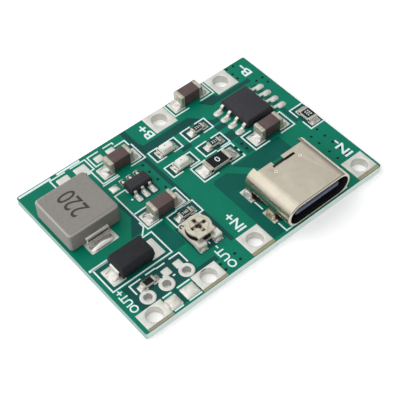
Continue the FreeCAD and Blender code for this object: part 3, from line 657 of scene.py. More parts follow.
def lofted(
    profile: Outline, half_a: float, half_b: float, radius: float, axis: Axis = Axis.Z, steps: int = 4
) -> Surface:
    """A closed block: a round-cornered rectangle carried along an axis and drawn in by the profile.

    At each stop (c, inset) the section is half_a - inset by half_b - inset.

    Args:
        profile: stops as place along the axis and inset.
        half_a: half length of the section before the inset.
        half_b: half width of the section before the inset.
        radius: corner radius of the section.
        axis: the axis along which it is carried.
        steps: chords in a corner.

    Returns:
        The surface, centred on the axis.
    """
    stops = np.asarray(profile, dtype=float)
    inset = stops[:, 1:2]
    rounding = np.clip(radius - 0.3 * inset, 0.01, np.minimum(half_a, half_b) - inset - 0.001)
    a, b = corner_loop(half_a - inset, half_b - inset, rounding, steps)
    rings = np.stack([a, b, np.broadcast_to(stops[:, 0:1], a.shape)], axis=-1)
    return ruled(np.roll(rings, axis.value, axis=-1))


def rounded(low: float, high: float, low_edge: float, high_edge: float, steps: int = 3) -> list[Place]:
    """Stops of a profile with a rounded edge at each end.

    Along an edge of radius e the inset is e (1 - cos t) at e sin t short of its start.

    Args:
        low: where the profile starts.
        high: where it ends.
        low_edge: radius of the first edge.
        high_edge: radius of the last edge.
        steps: chords in an edge.

    Returns:
        The stops.
    """
    turn = np.linspace(0, np.pi / 2, steps + 1)
    start = np.stack([low + low_edge * (1 - np.sin(turn[::-1])), low_edge * (1 - np.cos(turn[::-1]))], axis=-1)
    end = np.stack([high - high_edge * (1 - np.sin(turn)), high_edge * (1 - np.cos(turn))], axis=-1)
    return [tuple(stop) for stop in np.concatenate([start, end]).tolist()]


def softened(path: Outline, cut: float, steps: int = 5) -> Points:
    """A path whose corners are rounded.

    Round corner P, between A and B a little before and after it, the point is
    (1 - t)^2 A + 2 t (1 - t) P + t^2 B.

    Args:
        path: the corners of the path.
        cut: how far from its corner a bend begins.
        steps: chords in a bend.

    Returns:
        The points of the smooth path.
    """
    corners = np.asarray(path, dtype=float)
    runs = np.diff(corners, axis=0)
    length = np.linalg.norm(runs, axis=1, keepdims=True)
    reach = np.minimum(cut, 0.49 * np.minimum(length[:-1], length[1:]))
    before = corners[1:-1] - runs[:-1] / length[:-1] * reach
    after = corners[1:-1] + runs[1:] / length[1:] * reach
    t = np.linspace(0, 1, steps + 1)[None, :, None]
    bends = (1 - t) ** 2 * before[:, None] + 2 * t * (1 - t) * corners[1:-1, None] + t**2 * after[:, None]
    return np.concatenate([corners[:1], bends.reshape(-1, corners.shape[1]), corners[-1:]])


def strip(path: Outline, bend: float, thickness: float, width: float, edge: float) -> Surface:
    """A flat strip with rounded edges, folded along a path in the XZ plane and centred on Y.

    The section spans the path's normal and Y, and is carried along the smooth path.

    Args:
        path: X and Z of the corners.
        bend: how far from its corner a bend begins.
        thickness: thickness of the strip.
        width: width of the strip.
        edge: radius of its long edges.

    Returns:
        The surface.
    """
    line = softened(path, bend)
    slope = np.gradient(line, axis=0)
    slope /= np.linalg.norm(slope, axis=1, keepdims=True)
    normal = np.stack([-slope[:, 1], slope[:, 0]], axis=-1)
    half = np.full((1, 1), thickness / 2)
    across, along_y = corner_loop(half, np.full((1, 1), width / 2), np.full((1, 1), edge), 2)
    x = line[:, 0:1] + normal[:, 0:1] * across
    z = line[:, 1:2] + normal[:, 1:2] * across
    y = np.broadcast_to(along_y, x.shape)
    rings = np.stack([x, y, z], axis=-1)
    return ruled(rings[:, ::-1])


def ribbon(path: Outline, width: float, low: float, high: float) -> Surface:
    """A flat line with mitred corners, such as one of ink.

    Each side runs half the width from the path: at a corner it lies along the mean of the two
    normals, divided by the cosine of half the turn.

    Args:
        path: X and Y of its corners.
        width: width of the line.
        low: its underside.
        high: its top.

    Returns:
        The surface.
    """
    line = np.asarray(path, dtype=float)
    runs = np.diff(line, axis=0)
    runs /= np.linalg.norm(runs, axis=1, keepdims=True)
    normals = np.stack([-runs[:, 1], runs[:, 0]], axis=-1)
    before = np.concatenate([normals[:1], normals])
    after = np.concatenate([normals, normals[-1:]])
    mean = before + after
    mean /= np.linalg.norm(mean, axis=1, keepdims=True)
    side = mean * (width / 2 / np.sum(mean * before, axis=1, keepdims=True))
    ways = ((1, low), (1, high), (-1, high), (-1, low))
    section = [np.column_stack([line + way * side, np.full(len(line), level)]) for way, level in ways]
    return ruled(np.stack(section, axis=1))


def sheet(outline: Outline, low: float, high: float) -> Surface:
    """A thin flat sheet with the given outline, anticlockwise from above.

    Args:
        outline: X and Y of its corners.
        low: its underside.
        high: its top.

    Returns:
        The surface.
    """
    loop = np.asarray(outline, dtype=float)
    rings = [np.column_stack([loop, np.full(len(loop), level)]) for level in (low, high)]
    return ruled(np.stack(rings))


def disc(x: float, y: float, stops: Outline, sides: int = 24, hollow: bool = False) -> Surface:
    """A turned piece: circles of the radius and height of each stop.

    Args:
        x: X of the axis.
        y: Y of the axis.
        stops: radius and height pairs, from the underside round the rim to the top.
        sides: points on a circle.
        hollow: join the last circle to the first and leave a hole inside them.

    Returns:
        The surface.
    """
    ray = circle(sides)
    rings = [np.column_stack([ray * radius + (x, y), np.full(sides, height)]) for radius, height in stops]
    return ruled(np.stack(rings), around=hollow)


def pad(x0: float, y0: float, x1: float, y1: float, crown: float = 0.035, corner: float = 0.12) -> Surface:
    """A tinned pad, gently crowned by the solder that levelled on it.

    At turn t of the crown its height is crown sin t, and it is drawn in by the share
    0.08 + 0.82 t / (pi / 2) of half the pad's width.

    Args:
        x0: left edge.
        y0: front edge.
        x1: right edge.
        y1: rear edge.
        crown: how far its middle stands above its rim.
        corner: corner radius.

    Returns:
        The surface.
    """
    half = min(x1 - x0, y1 - y0) / 2
    turn = np.array([0.0, 0.35, 0.8, 1.57])
    rise = np.column_stack([PAD_TOP + crown * np.sin(turn), half * (0.08 + 0.82 * turn / (np.pi / 2))])
    profile = [(BOARD_TOP - 0.01, 0.0), (PAD_TOP - 0.02, 0.0), *rise.tolist()]
    return lofted(profile, (x1 - x0) / 2, (y1 - y0) / 2, corner).moved((x0 + x1) / 2, (y0 + y1) / 2)


def mound(reach: float, width: float, rise: float, crown: float, hollow: float, wave: float) -> Surface:
    """Solder drawn up against a face at X = 0, hollow towards its toe.

    Over u from 0 at the face to 1 at the toe, and v from -1 to 1 across, its height is
    rise (1 - u)^hollow (1 - v^6) + crown (1 - v^4) sin(pi u^0.7) + wave sin(5 u + 4 v),
    brought to nothing at the rim. Its corners are drawn in by 0.12 v^4 u of the reach and
    0.1 u^3 of the width.

    Args:
        reach: how far it runs from the face.
        width: how wide it is.
        rise: how high it climbs.
        crown: how far it swells above the pad.
        hollow: how fast it falls away from the face.
        wave: how uneven it is.

    Returns:
        The surface, its floor at Z = 0.
    """
    steps, lanes, sunk = 15, 17, 0.03
    u, v = np.meshgrid(np.linspace(0, 1, steps), np.linspace(-1, 1, lanes), indexing="ij")
    rim = 1 - v**6
    height = rise * (1 - u) ** hollow * rim + crown * (1 - v**4) * np.sin(np.pi * u**0.7)
    height = height + wave * np.sin(5 * u + 4 * v) * rim * (1 - u) * u * 4
    x = reach * u * (1 - 0.12 * v**4 * u)
    y = width / 2 * v * (1 - 0.1 * u**3)
    top = np.stack([x, y, height], axis=-1)
    floor = np.stack([x, y, np.full_like(x, -sunk)], axis=-1)
    rings = np.concatenate([floor, top[:, ::-1]], axis=1)
    return ruled(rings[::-1])


def bead(
    x: float, y: float, half_x: float, half_y: float, rise: float, low: float = PAD_TOP, boxy: float = 1.0
) -> Surface:
    """A rounded drop of solder: height rise (1 - s^2)^0.7 at share s of its reach.

    Its outline is the curve (|cos|^boxy, |sin|^boxy) with the signs kept, an ellipse at 1.

    Args:
        x: X of its middle.
        y: Y of its middle.
        half_x: half its length.
        half_y: half its width.
        rise: how high it stands.
        low: what it stands on.
        boxy: below 1 the outline nears a rectangle.

    Returns:
        The surface.
    """
    steps, tip, sides, sunk = 8, 0.06, 24, 0.04
    share = np.sin(np.linspace(np.pi / 2, tip, steps))
    levels = [low - sunk, *(low + rise * (1 - share**2) ** 0.7)]
    ray = circle(sides)
    loop = np.sign(ray) * np.abs(ray) ** boxy * (half_x, half_y)
    rings = [
        np.column_stack([loop * part + (x, y), np.full(len(loop), level)]) for part, level in zip([1.0, *share], levels)
    ]
    return ruled(np.stack(rings))


def soft_step(reach: Points, limit: float, soft: float) -> Points:
    """A step from 1 inside a limit to 0 outside it, t^2 (3 - 2 t) over an edge soft to each side."""
    share = np.clip((limit + soft - reach) / (2 * soft), 0, 1)
    return share * share * (3 - 2 * share)


def lettering(words: str, length: float, height: float, weight: float, thickness: float) -> Surface:
    """Plain letters as thin solids, in a box of the given size centred on the origin.

    Args:
        words: what is written.
        length: length of the line.
        height: height of a capital.
        weight: how much bolder than the plain face, as a share of its size.
        thickness: how far the ink stands up.

    Returns:
        The surface, read along X.
    """
    curve = bpy.data.curves.new("lettering", "FONT")
    curve.body = words
    curve.offset = weight
    curve.extrude = 0.5
    curve.resolution_u = 4
    holder = bpy.data.objects.new("lettering", curve)
    mesh = bpy.data.meshes.new_from_object(holder)
    points = np.empty(len(mesh.vertices) * 3)
    mesh.vertices.foreach_get("co", points)
    points = points.reshape(-1, 3)
    faces = [tuple(polygon.vertices) for polygon in mesh.polygons]
    low, high = points.min(axis=0), points.max(axis=0)
    scale = np.array([length, height, thickness]) / (high - low)
    shift = np.array([(low[0] + high[0]) / 2, (low[1] + high[1]) / 2, low[2]])
    bpy.data.objects.remove(holder)
    bpy.data.curves.remove(curve)
    bpy.data.meshes.remove(mesh)
    return Surface((points - shift) * scale, faces)


def fold(node: str, finish: Finish, bevel: float, crease: float = 40.0) -> None:
    """Stand a merged copy of a solid in its place, with its long edges rounded off.

    Args:
        node: the solid's name.
        finish: what it is dressed in.
        bevel: width of the rounded edges in millimetres.
        crease: edges sharper than this many degrees are rounded.
    """
    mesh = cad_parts[node].data.copy()
    work = bmesh.new()
    work.from_mesh(mesh)
    bmesh.ops.remove_doubles(work, verts=work.verts[:], dist=MERGE_REACH * MILLIMETRE)
    bmesh.ops.dissolve_limit(work, angle_limit=math.radians(FLAT_ANGLE), verts=work.verts[:], edges=work.edges[:])
    work.to_mesh(mesh)
    work.free()
    mesh.materials.clear()
    mesh.materials.append(finish.material)
    finish_mesh(mesh, crease)
    rounding = enter(node + "_finished", mesh, (node,)).modifiers.new("rounded edges", "BEVEL")
    rounding.width = bevel * MILLIMETRE
    rounding.segments = 2
    rounding.limit_method = "ANGLE"
    rounding.angle_limit = math.radians(crease)
    rounding.harden_normals = True


def repaint(node: str, finish: Finish) -> None:
    """Dress a solid that is shown as it is."""
    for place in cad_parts[node].material_slots:
        place.material = finish.material


# Circuit board
RING_PLACES = (2.85, 5.3, 7.92)
RING_Y = 3.33


def corners(box: Box) -> list[Place]:
    """The corners of a box given as left, front, right and rear edge."""
    left, front, right, rear = box
    return [(left, front), (right, front), (right, rear), (left, rear)]


@dataclass
class CircuitBoard:
    """The board with the tones that its copper gives the mask, one of them partly a painted shadow, its ink and the
    painted shade in its vias.

    A word is followed by X, Y, length and height; the dot is X, Y and radius.
    """

    ink_low: float = BOARD_TOP - SUNK
    ink_high: float = BOARD_TOP + 0.018
    ink_width: float = 0.17
    thick_width: float = 0.289
    ink_weight: float = 0.018
    dot: Sequence[float] = (9.38, 14.37, 0.13)
    tone_high: float = BOARD_TOP + 0.0015
    bare_high: float = BOARD_TOP + 0.003
    bare_zones: Sequence[Outline] = (
        ((13.74, 3.15), (14.3, 3.15), (14.3, 19.3), (14.3, 19.75), (15.1, 19.75), (14.85, 20.3), (14.85, 22.95),
         (14.1, 22.95), (14.1, 21.6), (13.74, 20.6)),
        ((14.3, 18.55), (22.62, 18.55), (21.55, 19.75), (14.3, 19.75)),
        ((22.95, 16.9), (24.15, 16.9), (24.15, 17.5), (23.57, 17.5), (22.95, 18.17)),
        ((6.1, 10.25), (7.7, 10.25), (8.15, 10.9), (8.15, 14.9), (7.7, 14.9), (7.75, 12.5)),
        # This zone is partly mask over bare laminate and partly a painted shadow of the capacitor behind it.
        ((25.0, 19.3), (31.0, 19.3), (31.0, 19.9), (26.6, 19.9), (26.1, 20.6), (24.0, 20.6)),
    )
    bare_boxes: Sequence[Box] = (
        (8.9, 2.15, 11.3, 2.85), (3.68, 0.4, 3.85, 2.45), (5.15, 0.35, 5.7, 2.45), (22.9, 15.75, 24.3, 16.55),
        (22.95, 13.7, 24.2, 15.0), (19.5, 16.8, 22.8, 18.35), (19.43, 13.85, 22.76, 15.44), (14.85, 16.8, 18.32, 18.35),
        (14.85, 13.9, 18.32, 15.44), (10.75, 8.3, 13.7, 9.95), (10.2, 3.8, 13.6, 8.2), (17.9, 16.0, 19.3, 16.6),
        (31.1, 9.1, 33.0, 12.65), (9.7, 13.4, 12.6, 14.9),
    )
    half_zones: Sequence[Outline] = (
        ((17.36, 0.35), (19.3, 0.35), (19.3, 6.8), (21.2, 7.2), (21.2, 8.75), (19.5, 10.45), (17.7, 10.45),
         (17.36, 10.1)),
        ((22.9, 8.3), (27.45, 8.3), (27.45, 10.75), (20.6, 10.75)),
    )
    half_boxes: Sequence[Box] = (
        (8.35, 6.0, 10.1, 9.85), (0.65, 6.2, 8.13, 9.5), (24.3, 10.93, 30.0, 13.28), (16.98, 11.16, 22.64, 13.4),
        (23.2, 11.0, 24.1, 13.6), (8.3, 10.22, 13.84, 12.52), (30.4, 10.9, 31.0, 18.6),
    )
    brackets: Sequence[tuple[float, float, float, float, float]] = (
        (26.3, 25.7, 24.2, 10.83, 13.38), (28.0, 29.0, 30.1, 10.83, 13.38), (20.85, 20.85, 19.4, 16.7, 18.45),
        (21.5, 21.5, 22.9, 16.7, 18.45), (20.85, 20.85, 19.33, 13.75, 15.54), (21.5, 21.5, 22.86, 13.75, 15.54),
        (18.95, 18.95, 16.88, 11.06, 13.5), (11.3, 12.0, 10.65, 8.2, 10.0), (13.3, 12.9, 14.2, 8.2, 10.05),
        (16.1, 16.1, 14.75, 16.7, 18.45), (17.1, 17.1, 18.42, 16.7, 18.45), (16.1, 16.1, 14.75, 13.8, 15.54),
        (17.1, 17.1, 18.42, 13.8, 15.54), (7.9, 6.8, 8.84, 20.65, 22.45), (10.15, 10.7, 9.2, 20.75, 22.45),
        (11.95, 13.3, 13.94, 10.12, 12.62),
    )
    lines: Sequence[Outline] = (
        ((2.5, 9.6), (0.55, 9.6), (0.55, 6.13), (8.23, 6.13), (8.23, 9.6), (6.95, 9.6)),
        ((7.15, 9.78), (8.0, 10.65), (8.0, 11.4)),
        ((9.62, 15.4), (9.62, 15.98), (8.2, 15.98), (8.2, 10.12), (10.15, 10.12)),
        ((9.93, 12.62), (8.2, 12.62)), ((8.1, 17.97), (10.38, 17.97)), ((19.08, 5.35), (19.08, 4.05)),
        ((7.8, 20.45), (8.34, 20.45), (8.34, 18.22), (10.38, 18.22)), ((12.2, 18.22), (14.2, 18.22), (14.2, 20.9)),
        ((12.5, 21.8), (13.95, 21.8), (13.95, 20.9)), ((20.65, 22.95), (20.65, 20.8), (22.75, 20.8)),
        ((24.4, 20.8), (26.43, 20.8), (26.43, 22.95)), ((20.77, 11.06), (22.74, 11.06), (22.74, 11.42)),
        ((22.74, 11.98), (22.74, 12.3)), ((22.74, 12.85), (22.74, 13.5), (20.77, 13.5)),
        ((32.95, 12.7), (31.05, 12.7), (31.05, 11.3)), ((31.05, 10.5), (31.05, 9.06), (32.95, 9.06)),
        ((4.1, 20.7), (4.1, 22.45), (6.14, 22.45)), ((11.37, 22.45), (12.65, 22.45), (12.65, 22.16)),
        ((2.2, 4.3), (2.2, 5.6), (3.65, 5.6)), ((4.3, 5.65), (5.5, 5.65), (5.7, 5.55), (6.75, 5.55)),
        ((7.35, 5.6), (8.7, 5.6), (8.7, 4.1)), ((3.85, 2.27), (5.0, 2.27)), ((5.75, 2.27), (7.4, 2.27)),
        ((3.85, 0.27), (5.0, 0.27)), ((5.75, 0.27), (7.4, 0.27)), ((6.4, 3.72), (6.7, 3.72)),
        ((19.08, 1.6), (19.08, 0.3), (28.0, 0.3)), ((11.9, 4.3), (11.9, 4.7)),
    )
    thick_lines: Sequence[Outline] = (
        ((0.15, 9.72), (2.5, 9.72)), ((0.15, 22.72), (4.4, 22.72)), ((5.2, 22.74), (8.33, 22.74)),
    )
    words: Sequence[tuple[str, float, float, float, float]] = (
        ("B+", 16.6, 21.2, 2.2, 1.2), ("B-", 31.55, 21.2, 1.9, 1.15), ("IN+", 15.7, 4.75, 2.6, 1.2),
        ("IN-", 31.55, 4.7, 2.6, 1.15), ("OUT+", 0.95, 4.3, 3.2, 0.95), ("OUT-", 12.0, 2.05, 3.3, 0.95),
    )
    laminate_strips: Sequence[Box] = (
        (0.45, 0.03, 3.65, 0.34), (7.57, 0.03, 10.77, 0.34), (14.28, 0.03, 17.28, 0.44), (29.72, 0.03, 32.72, 0.44),
    )
    vias: Sequence[Place] = (
        (13.25, 17.48), (13.23, 16.25), (13.25, 14.8), (13.22, 13.37), (30.1, 22.7), (31.04, 22.6), (30.1, 21.6),
        (30.1, 20.7), (31.5, 18.9), (32.4, 18.87), (32.4, 17.9), (22.7, 12.57), (22.7, 11.7), (23.6, 12.57),
        (23.6, 11.7), (7.6, 1.6), (7.6, 0.68), (11.0, 1.6), (11.0, 0.75), (12.0, 1.6), (13.0, 1.67), (13.0, 0.75),
        (30.16, 8.16), (30.16, 6.88), (30.16, 5.24), (30.16, 3.92), (31.43, 8.55), (31.43, 7.28), (31.43, 6.03),
        (31.45, 4.84), (31.43, 3.73),
    )
    via_shade_radius: float = 0.17
    via_shade_low: float = 0.02
    ring_zone: Box = (1.35, 2.45, 8.9, 5.9)
    ring_clear: float = 0.65

    def build(self) -> None:
        """Dress the board and lay the tones and the ink on it, with painted shade plugged into the vias."""
        repaint("circuit_board", Finish.MASK)
        half = [*self.half_zones, *map(corners, self.half_boxes)]
        bare = [*self.bare_zones, *map(corners, self.bare_boxes), *self.ring_zones()]
        strips = [corners(box) for box in self.laminate_strips]
        for name, finish, zones, high in (
            ("mask_half_zones", Finish.MASK_MID, half, self.tone_high),
            ("mask_bare_zones", Finish.MASK_BARE, bare, self.bare_high),
            ("bare_laminate_strips", Finish.LAMINATE, strips, self.tone_high),
        ):
            joined([sheet(zone, BOARD_TOP - SUNK, high) for zone in zones]).piece(name, finish, "solder_mask")
        self.draw_ink()
        # Dark plugs of painted shade in the vias.
        via_shade = ((self.via_shade_radius, self.via_shade_low), (self.via_shade_radius, BOARD_TOP + 0.003))
        joined([disc(x, y, via_shade, 12) for x, y in self.vias]).piece("via_shade_plugs", Finish.PIT, "solder_mask")

    def ring_zones(self) -> list[list[Place]]:
        """The two halves of the bare zone round the option rings, clear of their holes.

        Their common border runs through the rings' middles and round each hole in half a circle.

        Returns:
            The outline of each half.
        """
        left, front, right, rear = self.ring_zone
        turn = np.linspace(np.pi, 0, 13)
        halves = []
        for side, far in ((1, rear), (-1, front)):
            border = [(left, RING_Y)]
            for x in RING_PLACES:
                bow = np.column_stack([np.cos(turn), side * np.sin(turn)])
                arc = bow * self.ring_clear + (x, RING_Y)
                border += [tuple(point) for point in arc.tolist()]
            halves.append([*border, (right, RING_Y), (right, far), (left, far)][::side])
        return halves

    def draw_ink(self) -> None:
        """The outlines and the letters of white ink; a bracket is two ends, then X and both Y."""
        low, high = self.ink_low, self.ink_high
        thin = list(self.lines)
        for low_end, high_end, x, front, rear in self.brackets:
            thin.append(((low_end, front), (x, front), (x, rear), (high_end, rear)))
        drawn = [ribbon(line, self.ink_width, low, high) for line in thin]
        drawn += [ribbon(line, self.thick_width, low, high) for line in self.thick_lines]
        x, y, radius = self.dot
        drawn.append(disc(x, y, ((radius, low), (radius, high)), 12))
        joined(drawn).piece("ink_outlines", Finish.INK, "solder_mask")
        letters = [
            lettering(word, length, height, self.ink_weight, high - low).moved(x, y, low, 1)
            for word, x, y, length, height in self.words
        ]
        joined(letters).piece("ink_letters", Finish.INK, "solder_mask", crease=30)


# Pads and terminals
@dataclass
class PadField:
    """Every pad that carries a piece or waits for one, crowned by its solder.

    Each block is the pads where its spans along X cross its spans along Y.
    """

    blocks: Sequence[tuple[Sequence[Place], Sequence[Place]]] = (
        (((3.70, 5.15), (5.70, 7.40)), ((0.42, 1.92),)),
        (((4.57, 6.12), (6.88, 8.43)), ((20.73, 22.03),)),
        (((9.62, 10.68), (11.30, 12.36)), ((21.02, 21.98),)),
        (((8.28, 9.32),), ((16.38, 17.32),)),
        (((1.75, 5.25),), ((17.45, 20.55), (11.25, 14.35))),
        (((6.04, 7.74), (1.00, 2.70)), ((6.55, 8.95),)),
        (((11.72, 12.34), (10.74, 11.36), (9.76, 10.38)), ((13.57, 14.72), (16.27, 17.43))),
        (((12.48, 13.98), (8.78, 10.28)), ((18.50, 20.30),)),
        (((12.13, 13.63), (8.43, 9.93)), ((10.30, 12.10),)),
        (((28.23, 29.73), (24.53, 26.03)), ((11.15, 12.95),)),
        (((24.68, 26.18), (20.98, 22.48)), ((21.10, 22.90),)),
        (((21.65, 22.50), (19.90, 20.75)), ((17.02, 17.98), (14.12, 15.07))),
        (((12.85, 13.70), (11.10, 11.95)), ((8.50, 9.46),)),
        (((20.80, 22.30), (17.10, 18.60)), ((11.40, 13.10),)),
        (((31.43, 32.77),), ((11.35, 12.20), (9.30, 10.15))),
        (((17.22, 17.97), (15.27, 16.02)), ((16.90, 18.10), (14.05, 15.25))),
        (((10.35, 11.40), (12.40, 13.45)), ((3.90, 4.65),)),
        (((11.38, 12.43),), ((6.89, 8.00),)),
        (((20.48, 21.23), (21.70, 22.45), (22.73, 23.48), (23.73, 24.48), (24.74, 25.49), (25.98, 26.73)),
         ((6.63, 7.58),)),
    )
    chip_pad_x: Sequence[float] = (24.7, 31.0)
    chip_pad_y: Sequence[float] = (14.095, 15.365, 16.635, 17.905)
    chip_pad_half: Place = (0.63, 0.39)
    chip_pad_crown: float = 0.05

    def build(self) -> None:
        """Make all the pads as one piece."""
        pads = [pad(x0, y0, x1, y1) for wide, deep in self.blocks for x0, x1 in wide for y0, y1 in deep]
        half_x, half_y = self.chip_pad_half
        for x in self.chip_pad_x:
            for y in self.chip_pad_y:
                box = (x - half_x, y - half_y, x + half_x, y + half_y)
                pads.append(pad(*box, self.chip_pad_crown, half_y - 0.01))
        joined(pads).piece("tinned_pads", Finish.TIN, "tinned_pad", ("component_pads",))


@dataclass
class Terminals:
    """The six wire terminals and the option rings: pads on both faces, joined through the hole."""

    hole_radius: float = 0.93
    hole_shade: float = 0.1
    crown: float = 0.03
    crown_shares: Sequence[float] = (0.97, 0.85, 0.6, 0.35, 0.12, 0.03)
    rows: Sequence[tuple[str, float, float, float, float, float]] = (
        ("battery_minus", 26.68, 20.10, 29.78, 23.00, 21.62),
        ("battery_plus", 17.38, 20.10, 20.48, 23.00, 21.62),
        ("input_minus", 29.72, 0.42, 32.72, 3.02, 1.6),
        ("input_plus", 14.28, 0.42, 17.28, 3.02, 1.6),
        ("output_minus", 7.57, 0.315, 10.77, 2.37, 1.3),
        ("output_plus", 0.45, 0.315, 3.65, 2.37, 1.3),
    )
    ring_hole: float = 0.48
    ring_outer: float = 0.88
    ring_low_share: float = 0.15
    ring_shade: float = 0.28
    squares: Sequence[Place] = ((2.62, 3.6), (4.25, 5.2), (5.7, 6.66), (7.27, 8.2))
    square_span: Place = (4.05, 5.0)
    necks: Sequence[Place] = ((2.7, 3.35), (4.8, 5.25), (5.5, 6.1), (7.5, 8.1))
    neck_span: Place = (3.75, 4.4)

    def spool(self, outer: Points, hole: Points, low_share: float) -> Surface:
        """A plated hole: outer wall, crowned face, wall of the hole and the face below.

        Between the two outlines a point is hole + t (outer - hole), and the face's crown is
        the crown's height times sin(pi t)^0.6.

        Args:
            outer: X and Y of the pad's outline.
            hole: X and Y of the hole's outline, point for point.
            low_share: how far the pad below reaches towards the outline.

        Returns:
            The surface.
        """
        face = [(t, PAD_TOP + self.crown * math.sin(math.pi * t) ** 0.6) for t in self.crown_shares]
        core, floor, sunk = 0.35, 0.05, BOARD_TOP - 0.01
        start = [(core, floor), (core, sunk), (1.0, sunk), (1.0, PAD_TOP - 0.01)]
        end = [(0.0, PAD_TOP - 0.02), (0.0, 0.0), (low_share, 0.0), (low_share, floor)]
        share, level = np.array([*start, *face, *end]).T
        plan = hole[None] + share[:, None, None] * (outer - hole)[None]
        rings = np.concatenate([plan, np.broadcast_to(level[:, None, None], plan.shape[:2] + (1,))], axis=-1)
        return ruled(rings, around=True)

    def wire_terminal(self, x0: float, y0: float, x1: float, y1: float, hole_y: float) -> Surface:
        """One terminal between two corners, with its hole on the middle line.

        Args:
            x0: left edge.
            y0: front edge.
            x1: right edge.
            y1: rear edge.
            hole_y: Y of the hole.

        Returns:
            The surface.
        """
        middle = np.array([(x0 + x1) / 2, hole_y])
        ray = circle(64)
        room_x = (x1 - x0) / 2 / np.maximum(np.abs(ray[:, 0]), TINY)
        room_y = np.where(ray[:, 1] > 0, y1 - hole_y, hole_y - y0) / np.maximum(np.abs(ray[:, 1]), TINY)
        outer = middle + ray * np.minimum(room_x, room_y)[:, None]
        tips = np.array([(x1, y1), (x0, y1), (x0, y0), (x1, y0)])
        outer[np.argmin(np.linalg.norm(outer[None] - tips[:, None], axis=-1), axis=1)] = tips
        return self.spool(outer, middle + ray * self.hole_radius, 1.0)

    def add(self, name: str, surface: Surface, node: str, painted_light: float) -> None:
        """Make plated holes a piece, clean on its face and with painted shade, 0 to 1, on the holes' walls."""
        # Painted shade on every point below the pad's face: the holes' walls, the sides and the pad below.
        dull = painted_light * (surface.points[:, 2] < PAD_TOP - 0.015)
        surface.piece(name, Finish.TIN, "tinned_pad", (node,), crease=50, painted_light=dull)

    def build(self) -> None:
        """Make the terminals, and the option rings with their squares."""
        for name, *box in self.rows:
            node = "terminal_" + name
            self.add(node + "_tinned", self.wire_terminal(*box), node, self.hole_shade)
        made = []
        for x in RING_PLACES:
            rays = np.array([x, RING_Y]) + circle(48) * np.array([[[self.ring_outer]], [[self.ring_hole]]])
            made.append(self.spool(*rays, self.ring_low_share))
        low, high = self.square_span
        made += [pad(x0, low, x1, high, 0.04) for x0, x1 in self.squares]
        low, high = self.neck_span
        made += [pad(x0, low, x1, high, 0.03, 0.05) for x0, x1 in self.necks]
        self.add("option_rings", joined(made), "option_pads", self.ring_shade)


# Chip pieces with two ends
CAPACITOR_PLACES = ((11.38, 19.4), (11.03, 11.2), (27.13, 12.05), (23.58, 22.0))
LIGHT_PLACES = ((16.62, 17.5), (16.62, 14.65))


@dataclass
class EndedPiece:
    """A chip piece with metal ends: its size and where it stands."""

    length: float
    width: float
    height: float
    band: float
    x: float
    y: float
    turns: int = 0

    def placed(self, surfaces: Sequence[Surface]) -> Surface:
        """The surfaces joined, turned and carried to the piece's place."""
        return joined(surfaces).moved(self.x, self.y, 0, self.turns)

    def plate(self, node: str, finish: Finish, edge: float, inner_edge: float = 0.03) -> None:
        """Make the two metal ends, which round off outwards and towards the body.

        Args:
            node: the piece's name, as its solids have it.
            finish: what the ends are dressed in.
            edge: radius of the outer edges.
            inner_edge: radius where the metal meets the body.
        """
        profile = rounded(self.length / 2 - self.band, self.length / 2, inner_edge, edge, 4)
        half = self.height / 2
        cap = lofted(profile, self.width / 2, half, 0.12, Axis.X).moved(0, 0, PAD_TOP + half)
        ends = self.placed([cap, cap.moved(turns=2)])
        ends.piece(node + "_plating", finish, "plated_end", (node + "_ends",), crease=50)


@dataclass
class Capacitors:
    """Four brown chip capacitors with rounded, plated ends."""

    size: Sequence[float] = (3.2, 1.6, 1.6, 0.5)
    skin: float = 0.04
    sunk: float = 0.1
    body_edge: float = 0.05
    body_corner: float = 0.07
    end_edge: float = 0.15
    inner_edge: float = 0.035

    def build(self) -> None:
        """Make each body and its ends."""
        for number, (x, y) in enumerate(CAPACITOR_PLACES, 1):
            node = f"capacitor_{number}"
            piece = EndedPiece(*self.size, x, y)
            reach = piece.length / 2 - self.sunk
            profile = rounded(-reach, reach, self.body_edge, self.body_edge)
            half_x, half_z = piece.width / 2 - self.skin, piece.height / 2 - self.skin
            body = lofted(profile, half_x, half_z, self.body_corner, Axis.X).moved(0, 0, PAD_TOP + piece.height / 2)
            piece.placed([body]).piece(node + "_ceramic", Finish.BROWN, "brown_ceramic", (node + "_body",))
            piece.plate(node, Finish.END, self.end_edge, self.inner_edge)


class ChipSize(Enum):
    """Sizes of chip resistors: length, width, height and the metal's reach along the top."""

    SMALL = (1.6, 0.8, 0.45, 0.3)
    MEDIUM = (2.0, 1.25, 0.5, 0.4)
    LARGE = (3.2, 1.6, 0.6, 0.5)


